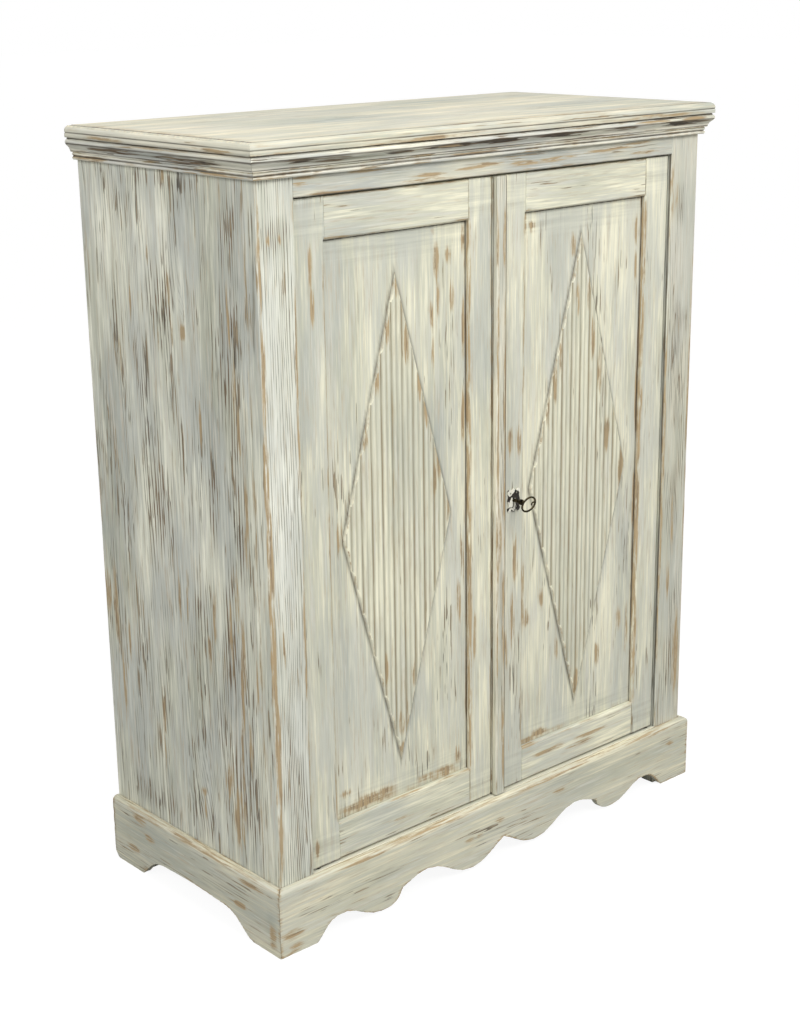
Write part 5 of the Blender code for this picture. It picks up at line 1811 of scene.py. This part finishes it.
@dataclass
class Door:
    """A door: its frame, its sunk panel and the reeded lozenge on it.

    Attributes:
        side: Which door.
        seed: Picks the pattern of the wear.
        line_inset: How far the frame's lines of painted shade and dirt lie in front of the panel and above
            the door's edge.
        foot_half: Half the width of the line where the frame meets the panel.
        sill_half: Half the width of the line along the door's lower edge.
        outline_reach: How far painted shade and dirt lie to both sides of the lozenge's outline.
        outline_share: Strength of that painted shade and dirt.
        shade_inset: How far inside its right edge the panel's line of painted shade and dirt lies.
        shade_half: Half that line's width.
        head_inset: How far below its upper edge the panel's line of painted shade and dirt lies.
        head_half: Half that line's width.
        reed_depth: Depth of the lozenge's reeds.
        low: Lower corner of the panel's opening.
        high: Upper corner of that opening.
    """

    side: Side
    seed: int = 51
    line_inset: float = 0.0006
    foot_half: float = 0.0014
    sill_half: float = 0.0018
    outline_reach: float = 0.0042
    outline_share: float = 0.62
    shade_inset: float = 0.0008
    shade_half: float = 0.0016
    head_inset: float = 0.0012
    head_half: float = 0.0018
    reed_depth: float = 0.0024
    low: Vector = field(init=False)
    high: Vector = field(init=False)

    GREY = 0.35
    RIGHT_GREY = 0.19
    BLUE = 0.42
    CONTRAST = 1.55
    LIGHT = (0.832, 0.812, 0.635)

    def __post_init__(self) -> None:
        """Work out the corners of the panel's opening from the frame."""
        word = self.side.word
        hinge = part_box(word + "_hinge_stile")
        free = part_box(word + "_free_stile")
        left, right = (hinge, free) if self.side is Side.LEFT else (free, hinge)
        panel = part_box(word + "_panel")[0].y
        self.low = Vector((left[1].x, panel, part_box(word + "_bottom_rail")[1].z))
        self.high = Vector((right[0].x, panel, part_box(word + "_top_rail")[0].z))

    def timber(self, part: str, grain: Axis, finish: PaintedPine, **rest: object) -> None:
        """Build one piece of the door.

        Args:
            part: Last part of its node's name.
            grain: Direction of the grain.
            finish: Its paint.
            rest: Further values of the timber.
        """
        word = self.side.word
        Timber(word + "_" + part, word + "_door", grain, finish, backs=False, **rest).build()

    def finish(self, part: str, grain: Axis) -> PaintedPine:
        """Paint of the door's frame or panel.

        Args:
            part: Names the paint.
            grain: Direction of the grain.

        Returns:
            The paint.
        """
        name = self.side.word + "_" + part + "_paint"
        grey = self.GREY if self.side is Side.LEFT else self.RIGHT_GREY
        return PaintedPine(
            name, grain, grey=grey, blue=self.BLUE, contrast=self.CONTRAST, bristle=2.8, rings=0.0,
            strokes=0.24, light=self.LIGHT,
        )

    def build(self) -> None:
        """Build the door's pieces."""
        word = self.side.word
        upright = self.finish("stile", Axis.Z)
        level = self.finish("rail", Axis.X)
        marks = self.marks()
        plain = tuple(mark for mark in marks if mark.trace is not Trace.CROSS)
        rails = (word + "_top_rail", word + "_bottom_rail")
        stiles = (word + "_hinge_stile", word + "_free_stile")
        # Lines of painted shade and dirt where the frame meets the panel and along the door's lower edge.
        foot = EdgeQuirk(self.low.y - self.line_inset, self.foot_half, depth=0.0, across=Axis.Y)
        sill = EdgeQuirk(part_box(word + "_bottom_rail")[0].z + self.line_inset, self.sill_half, depth=0.0)
        wall = Vector((self.high.x, self.low.y, (self.low.z + self.high.z) / 2))
        rubbed = Mark(Trace.WORN, LEFT, tuple(wall), (0.008, 0.040, 0.62), 0.68)
        brushed = tuple(self.rail_strokes(rail) for rail in rails)
        for count, part in enumerate(("hinge_stile", "free_stile")):
            self.timber(
                part, Axis.Z, upright, shown=(FRONT, LEFT, RIGHT), arris=1.1, reach=0.0034, steady=0.50,
                joined=rails, marks=(*plain, *brushed, rubbed), quirks=(foot, sill), seed=self.seed + count,
            )
        for count, part in enumerate(("top_rail", "bottom_rail")):
            self.timber(
                part, Axis.X, level, shown=(FRONT, UP, DOWN), steady=0.3, joined=stiles, marks=plain,
                quirks=(sill,), seed=self.seed + 2 + count,
            )
        self.panel(marks)
        self.lozenge(marks)

    @staticmethod
    def rail_strokes(rail: str) -> Mark:
        """Strokes brushed along a rail and on over the stiles' ends.

        Args:
            rail: The rail's node.

        Returns:
            The mark.
        """
        low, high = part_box(rail)
        middle = (low + high) / 2
        reach = (high.x - low.x, MARK_DEPTH, 0.62 * (high.z - low.z))
        return Mark(Trace.CROSS, FRONT, (middle.x, FACE_Y, middle.z), reach, 1.15)

    def marks(self) -> tuple[Mark, ...]:
        """Marks on the door's frame, panel and lozenge.

        Returns:
            The marks.
        """
        if self.side is Side.LEFT:
            worn = (
                (-97, 1027, 8, 14), (-121, 1020, 7, 34), (-90, 962, 6, 26), (-127, 1060, 10, 5),
                (-131, 685, 5, 34), (-76, 475, 6, 44), (-66, 1045, 5, 26), (-70, 540, 5, 50),
                (-107, 180, 16, 6), (-258, 194, 44, 6), (-204, 255, 6, 16), (-368, 1040, 5, 40),
                (-367, 985, 5, 34), (-61, 300, 4, 40), (-80, 205, 9, 18), (-227, 140, 44, 4),
                (-112, 188, 26, 9), (-150, 190, 30, 5), (-50, 410, 4, 50), (-118, 960, 3, 30),
                (-66, 910, 4, 60), (-67, 768, 4, 60), (-319, 215, 16, 4), (-129, 880, 4, 30),
                (-131, 940, 5, 24), (-266, 191, 62, 9), (-246, 193, 40, 7), (-290, 186, 50, 6),
                (-319, 635, 7, 30), (-386, 145, 5, 20),
            )
            grey = (
                (-200, 620, 60, 200), (-386, 200, 20, 120), (-300, 900, 34, 200), (-110, 760, 40, 160),
                (-210, 1100, 120, 24), (-330, 520, 30, 160), (-90, 330, 30, 140),
            )
            dark = ((-386, 160, 12, 50), (-225, 150, 70, 10), (-120, 160, 40, 8))
            pale = ((-320, 980, 24, 70), (-160, 420, 34, 120), (-330, 300, 24, 90), (-250, 760, 40, 160))
        else:
            worn = (
                (66, 1060, 6, 26), (83, 1052, 9, 10), (65, 930, 5, 80), (64, 820, 5, 40),
                (30, 719, 8, 26), (50, 715, 6, 30), (68, 440, 5, 70), (77, 401, 8, 18), (41, 515, 6, 50),
                (35, 412, 7, 60), (82, 178, 20, 7), (112, 186, 22, 7), (254, 290, 7, 26),
                (309, 341, 6, 30), (331, 1021, 5, 30), (331, 960, 4, 30), (341, 731, 4, 70),
                (130, 150, 44, 5), (205, 140, 40, 5), (310, 182, 18, 5), (178, 1012, 7, 22),
                (302, 625, 8, 30), (113, 428, 7, 18), (230, 150, 50, 4), (187, 923, 5, 30),
                (151, 328, 5, 24), (196, 245, 6, 18), (340, 553, 4, 60), (330, 320, 4, 60),
                (20, 340, 5, 60),
            )
            grey = (
                (120, 500, 40, 170), (240, 560, 60, 220), (300, 900, 34, 160), (130, 930, 30, 120),
                (40, 600, 24, 200), (180, 1100, 130, 24), (310, 480, 24, 140),
            )
            dark = (
                (120, 340, 34, 60), (35, 560, 14, 130), (40, 330, 14, 100), (130, 150, 70, 14),
                (300, 360, 24, 90),
            )
            pale = ((100, 760, 30, 150), (260, 1000, 40, 60), (300, 240, 30, 60), (370, 800, 16, 200))
        middle = (self.low.x + self.high.x) / 2 / MM
        cross = ((middle, self.high.z / MM, 260, 52), (middle, self.low.z / MM, 260, 48))
        greyed = 0.4 if self.side is Side.LEFT else 0.25
        head = ((middle, self.high.z / MM - 12, 150, 20),)
        return grouped(
            on_front, (Trace.WORN, 0.92, worn), (Trace.GREY, greyed, grey), (Trace.DARK, 0.9, dark),
            (Trace.PALE, 0.4, pale), (Trace.CROSS, 1.0, cross), (Trace.GREY, 0.30, head),
        )

    def wedges(self) -> tuple[Mark, ...]:
        """Marks where the lozenge's reeds run out and their ends are rubbed bare.

        Returns:
            The marks.
        """
        if self.side is Side.LEFT:
            places = (
                (-204, 1000, 5, 26), (-186, 905, 6, 36), (-161, 845, 5, 36), (-147, 795, 5, 30),
                (-124, 712, 6, 40), (-224, 934, 5, 30), (-245, 860, 4, 36), (-269, 782, 5, 34),
                (-318, 672, 6, 30), (-104, 630, 5, 30), (-206, 300, 7, 24), (-180, 380, 4, 30),
                (-236, 400, 4, 30),
            )
        else:
            places = (
                (181, 1005, 6, 34), (150, 832, 6, 44), (137, 793, 5, 40), (225, 853, 6, 44),
                (244, 796, 6, 44), (120, 754, 5, 40), (299, 616, 6, 40), (263, 693, 6, 44),
                (196, 262, 8, 24), (214, 930, 5, 34),
            )
        return grouped(on_front, (Trace.WORN, 0.95, places))

    def panel(self, marks: tuple[Mark, ...]) -> None:
        """Build the sunk panel, worn where it meets the frame.

        Args:
            marks: Traces of use.
        """
        finish = self.finish("panel", Axis.Z)
        low = self.low
        high = self.high
        corners = (
            Vector((low.x, low.y, low.z)), Vector((high.x, low.y, low.z)),
            Vector((high.x, low.y, high.z)), Vector((low.x, low.y, high.z)),
        )
        weights = (1.0, 1.0, 0.6, 0.8)
        seams = tuple((corners[turn], corners[(turn + 1) % 4], weights[turn]) for turn in range(4))
        # Painted shade and dirt round the lozenge and along the opening's right and upper edges.
        quirks = (
            DiamondLine(*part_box(self.side.word + "_lozenge"), self.outline_reach, self.outline_share),
            EdgeQuirk(high.x - self.shade_inset, self.shade_half, depth=0.0, across=Axis.X),
            EdgeQuirk(high.z - self.head_inset, self.head_half, depth=0.0),
        )
        self.timber(
            "panel", Axis.Z, finish, strand=0.0026, relief=0.00010, reach=0.0040, steady=0.40, marks=marks,
            seams=seams, quirks=quirks, seed=self.seed + 6,
        )

    def lozenge(self, marks: tuple[Mark, ...]) -> None:
        """Build the reeded lozenge.

        Args:
            marks: Traces of use.
        """
        finish = PaintedPine(
            self.side.word + "_lozenge_paint", Axis.Z, grey=0.20, blue=0.12, contrast=0.9, rings=0.0,
            rubbed=0.2, light=self.LIGHT,
        )
        self.timber(
            "lozenge", Axis.Z, finish, station=0.004, strand=0.0013, relief=0.00005, arris=0.45, reach=0.0018,
            rounding=0.0001, marks=(*marks, *self.wedges()), groove_depth=self.reed_depth,
            seed=self.seed + 8,
        )


@dataclass
class MeetingStrip:
    """The rounded strip between the doors.

    Attributes:
        seed: Picks the pattern of the wear.
        side_inset: How far inside the strip's right side its groove lies.
        side_half: Half that groove's width.
        side_depth: Its depth.
        back_inset: How far in front of the strip's back its line of painted shade and dirt lies.
        back_half: Half that line's width.
    """

    seed: int = 81
    side_inset: float = 0.0014
    side_half: float = 0.0022
    side_depth: float = 0.0003
    back_inset: float = 0.0004
    back_half: float = 0.0018

    def build(self) -> None:
        """Build the strip."""
        finish = PaintedPine(
            "strip_paint", Axis.Z, grey=0.42, blue=0.25, contrast=2.0, rings=0.60, strokes=0.35, rubbed=0.15
        )
        low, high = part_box("meeting_strip")
        middle = (low + high) / 2
        # A groove and a line of painted shade and dirt along the strip's right side and its back.
        quirks = (
            EdgeQuirk(high.x - self.side_inset, self.side_half, self.side_depth, across=Axis.X),
            EdgeQuirk(high.y - self.back_inset, self.back_half, depth=0.0, across=Axis.Y),
        )
        # The first two pale marks, on the strip's left wall and left front, are painted highlight.
        marks = (
            Mark(Trace.PALE, LEFT, (low.x, middle.y, middle.z), (0.004, 0.03, 0.60), 1.1),
            on_front(Trace.PALE, -9, 650, 6, 600, 0.8), on_front(Trace.WORN, 8, 760, 4, 300, 0.74),
            on_front(Trace.WORN, 6, 420, 4, 120, 0.74), on_front(Trace.WORN, 6, 230, 5, 110, 0.85),
            on_front(Trace.WORN, -10, 1000, 3, 120, 0.6), on_front(Trace.GREY, 9, 640, 4, 500, 0.4),
            on_front(Trace.WORN, 5, 1040, 4, 70, 0.75), on_front(Trace.WORN, -3, 560, 4, 60, 0.7),
            on_front(Trace.DARK, 4, 620, 8, 480, 1.2), on_front(Trace.WORN, -8, 660, 3, 520, 0.72),
            on_front(Trace.WORN, 10, 640, 3, 540, 0.70),
        )
        Timber(
            "meeting_strip", "right_door", Axis.Z, finish, shown=(FRONT, LEFT, RIGHT), strand=0.0015,
            arris=1.1, reach=0.0024, steady=0.45, marks=marks, quirks=quirks, seed=self.seed,
        ).build()


@dataclass
class Interior:
    """Pieces inside and behind the cabinet, bare but for the bottom rail and the floor's front edge.

    Attributes:
        painted_front: How far behind the face the floor board is painted.
        board_shift: How far each back board lies from the next in the tree.
        grime: Share of grime on each back board.
    """

    painted_front: float = 0.020
    board_shift: float = 0.61
    grime: tuple[float, ...] = (0.30, 0.62, 0.20, 0.50)

    def build(self) -> None:
        """Dress the boards by the direction of their grain."""
        finishes = {axis: BarePine("bare_pine_" + axis.name.lower(), axis).material() for axis in Axis}
        backs = [
            BarePine(f"back_pine_{count}", Axis.Z, shift=self.board_shift * count, shade=shade).material()
            for count, shade in enumerate(self.grime, start=1)
        ]
        rail = PaintedPine("bottom_rail_paint", Axis.X, grey=0.45, blue=0.2, rings=0.3)
        dress_node("bottom_rail", rail.material())
        floor = BarePine("floor_board_pine", Axis.X, painted_to=FACE_Y + self.painted_front).material()
        dress_node("floor_board", floor)
        for node in ("shelf_1", "shelf_2", "door_stop"):
            dress_node(node, finishes[Axis.X])
        for count, pine in enumerate(backs, start=1):
            dress_node(f"back_board_{count}", pine)
        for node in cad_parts:
            if node.startswith("shelf_cleat"):
                dress_node(node, finishes[Axis.Y])
            elif node.startswith("corner_block"):
                dress_node(node, finishes[Axis.Z])


@dataclass
class Ironwork:
    """Pivots, lock, bolts, keyhole plate and key."""

    def build(self) -> None:
        """Dress the iron and bronze pieces."""
        iron = WornIron("worn_iron").material()
        plain = (
            "lock_keep", "top_bolt_plate", "bottom_bolt_plate", "top_bolt", "bottom_bolt", "lock_case",
            "lock_bolt",
        )
        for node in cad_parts:
            if node in plain or "pivot" in node:
                dress_node(node, iron)
        dress_node("escutcheon", WornIron("painted_iron", paint=0.38, metallic=0.1).material())
        dress_node("key", AgedBronze("aged_bronze").material())


@dataclass(frozen=True)
class Lamp:
    """A soft round lamp.

    Attributes:
        name: Its name.
        place: Where it hangs.
        size: Its diameter.
        power: Its power in watts.
    """

    name: str
    place: Triple
    size: float
    power: float

    def hang(self, aim: Vector) -> None:
        """Hang the lamp and turn it to a point.

        Args:
            aim: The point.
        """
        data = bpy.data.lights.new(self.name, "AREA")
        data.shape = "DISK"
        data.size = self.size
        data.energy = self.power
        lamp = bpy.data.objects.new(self.name, data)
        lamp.location = self.place
        lamp.rotation_euler = (aim - Vector(self.place)).to_track_quat("-Z", "Y").to_euler()
        bpy.context.scene.collection.objects.link(lamp)


@dataclass
class Studio:
    """Pale room, soft lamps and the camera.

    Attributes:
        eye: Camera's place.
        yaw: Turn of the view to the right of +Y, in radians.
        pitch: Fall of the view below level, in radians.
        roll: Tilt of the picture, in radians.
        focal_pixels: Focal length in pixels of the full picture.
        picture: Width and height of the full picture in pixels.
        centre: Where the optical axis meets the picture, in pixels.
        sensor: Height of the camera's sensor, in millimetres.
        floor_size: Half the floor's length.
        floor_colour: Colour of the floor.
        floor_glow: Strength of the white that the camera sees on the floor.
        glow_share: Share of that white.
        daylight: Strength of the light from all round.
        aim: Point that the lamps are turned to.
        lamps: Lamps in front, at the left and overhead.
    """

    eye: Triple = (-1.8948, -2.0975, 1.4274)
    yaw: float = 0.7251
    pitch: float = 0.2968
    roll: float = -0.0141
    focal_pixels: float = 1754.30
    picture: tuple[int, int] = (800, 1027)
    centre: tuple[float, float] = (399.72, 512.13)
    sensor: float = 36.0
    floor_size: float = 30.0
    floor_colour: Colour = (0.45, 0.45, 0.44)
    floor_glow: float = 1.32
    glow_share: float = 0.70
    daylight: float = 0.44
    aim: Triple = (0.0, 0.0, 0.65)
    lamps: tuple[Lamp, ...] = (
        Lamp("front_lamp", (-0.2, -2.6, 2.9), size=1.5, power=66.0),
        Lamp("side_lamp", (-3.0, -0.9, 2.7), size=1.6, power=41.0),
        Lamp("top_lamp", (0.3, -0.2, 3.6), size=2.0, power=8.0),
    )

    def build(self) -> None:
        """Set up the room, the lamps and the camera."""
        bpy.context.scene.view_settings.view_transform = "Standard"
        self.camera()
        self.floor()
        self.world()
        for lamp in self.lamps:
            lamp.hang(Vector(self.aim))

    def camera(self) -> None:
        """Place the camera at the photograph's viewing angle."""
        flat = math.cos(self.pitch)
        forward = Vector((math.sin(self.yaw) * flat, math.cos(self.yaw) * flat, -math.sin(self.pitch)))
        level = Vector((math.cos(self.yaw), -math.sin(self.yaw), 0.0))
        rising = level.cross(forward)
        right = level * math.cos(self.roll) + rising * math.sin(self.roll)
        up = rising * math.cos(self.roll) - level * math.sin(self.roll)
        data = bpy.data.cameras.new("view")
        data.sensor_fit = "VERTICAL"
        data.sensor_height = self.sensor
        data.lens = self.focal_pixels * data.sensor_height / self.picture[1]
        data.shift_x = (self.picture[0] / 2 - self.centre[0]) / self.picture[1]
        data.shift_y = (self.centre[1] - self.picture[1] / 2) / self.picture[1]
        camera = bpy.data.objects.new("view", data)
        turn = Matrix((right, up, -forward)).transposed().to_4x4()
        camera.matrix_world = Matrix.Translation(Vector(self.eye)) @ turn
        bpy.context.scene.collection.objects.link(camera)
        bpy.context.scene.camera = camera

    def floor(self) -> None:
        """Lay the floor, which the camera sees paler than the light makes it."""
        shape = bmesh.new()
        bmesh.ops.create_grid(shape, x_segments=1, y_segments=1, size=self.floor_size)
        mesh = bpy.data.meshes.new("floor")
        shape.to_mesh(mesh)
        shape.free()
        floor = bpy.data.objects.new("floor", mesh)
        bpy.context.scene.collection.objects.link(floor)
        graph = Graph("floor_white")
        graph.feed((*self.floor_colour, 1.0), graph.shader.inputs["Base Color"])
        graph.feed(0.9, graph.shader.inputs["Roughness"])
        seen = graph.put("LightPath", {}).outputs["Is Camera Ray"]
        glow = graph.put("Emission", {"Strength": self.floor_glow})
        share = graph.times(seen, self.glow_share)
        both = graph.put("MixShader", {0: share, 1: graph.shader.outputs[0], 2: glow.outputs[0]})
        graph.feed(both.outputs[0], graph.tree.nodes["Material Output"].inputs["Surface"])
        mesh.materials.append(graph.material)

    def world(self) -> None:
        """Light the room from all round, and show plain white to the camera and to reflections."""
        world = bpy.data.worlds.new("room")
        world.use_nodes = True
        bpy.context.scene.world = world
        tree = world.node_tree
        light = tree.nodes["Background"]
        light.inputs["Color"].default_value = (1.0, 1.0, 1.0, 1.0)
        light.inputs["Strength"].default_value = self.daylight
        seen = tree.nodes.new("ShaderNodeBackground")
        seen.inputs["Color"].default_value = (1.0, 1.0, 1.0, 1.0)
        path = tree.nodes.new("ShaderNodeLightPath")
        either = tree.nodes.new("ShaderNodeMath")
        either.operation = "MAXIMUM"
        blend = tree.nodes.new("ShaderNodeMixShader")
        end = tree.nodes["World Output"]
        joints = (
            (path.outputs["Is Camera Ray"], either.inputs[0]),
            (path.outputs["Is Glossy Ray"], either.inputs[1]),
            (either.outputs[0], blend.inputs[0]),
            (light.outputs[0], blend.inputs[1]),
            (seen.outputs[0], blend.inputs[2]),
            (blend.outputs[0], end.inputs["Surface"]),
        )
        for output, entry in joints:
            tree.links.new(output, entry)


def main() -> None:
    """Build the looks in order."""
    logging.basicConfig(level=logging.INFO, format="%(name)s: %(message)s")
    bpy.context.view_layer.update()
    Studio().build()
    Carcass().build()
    Mouldings().build()
    Door(Side.LEFT, seed=51).build()
    Door(Side.RIGHT, seed=67).build()
    MeetingStrip().build()
    Interior().build()
    Ironwork().build()


if __name__ == "__main__":
    main()
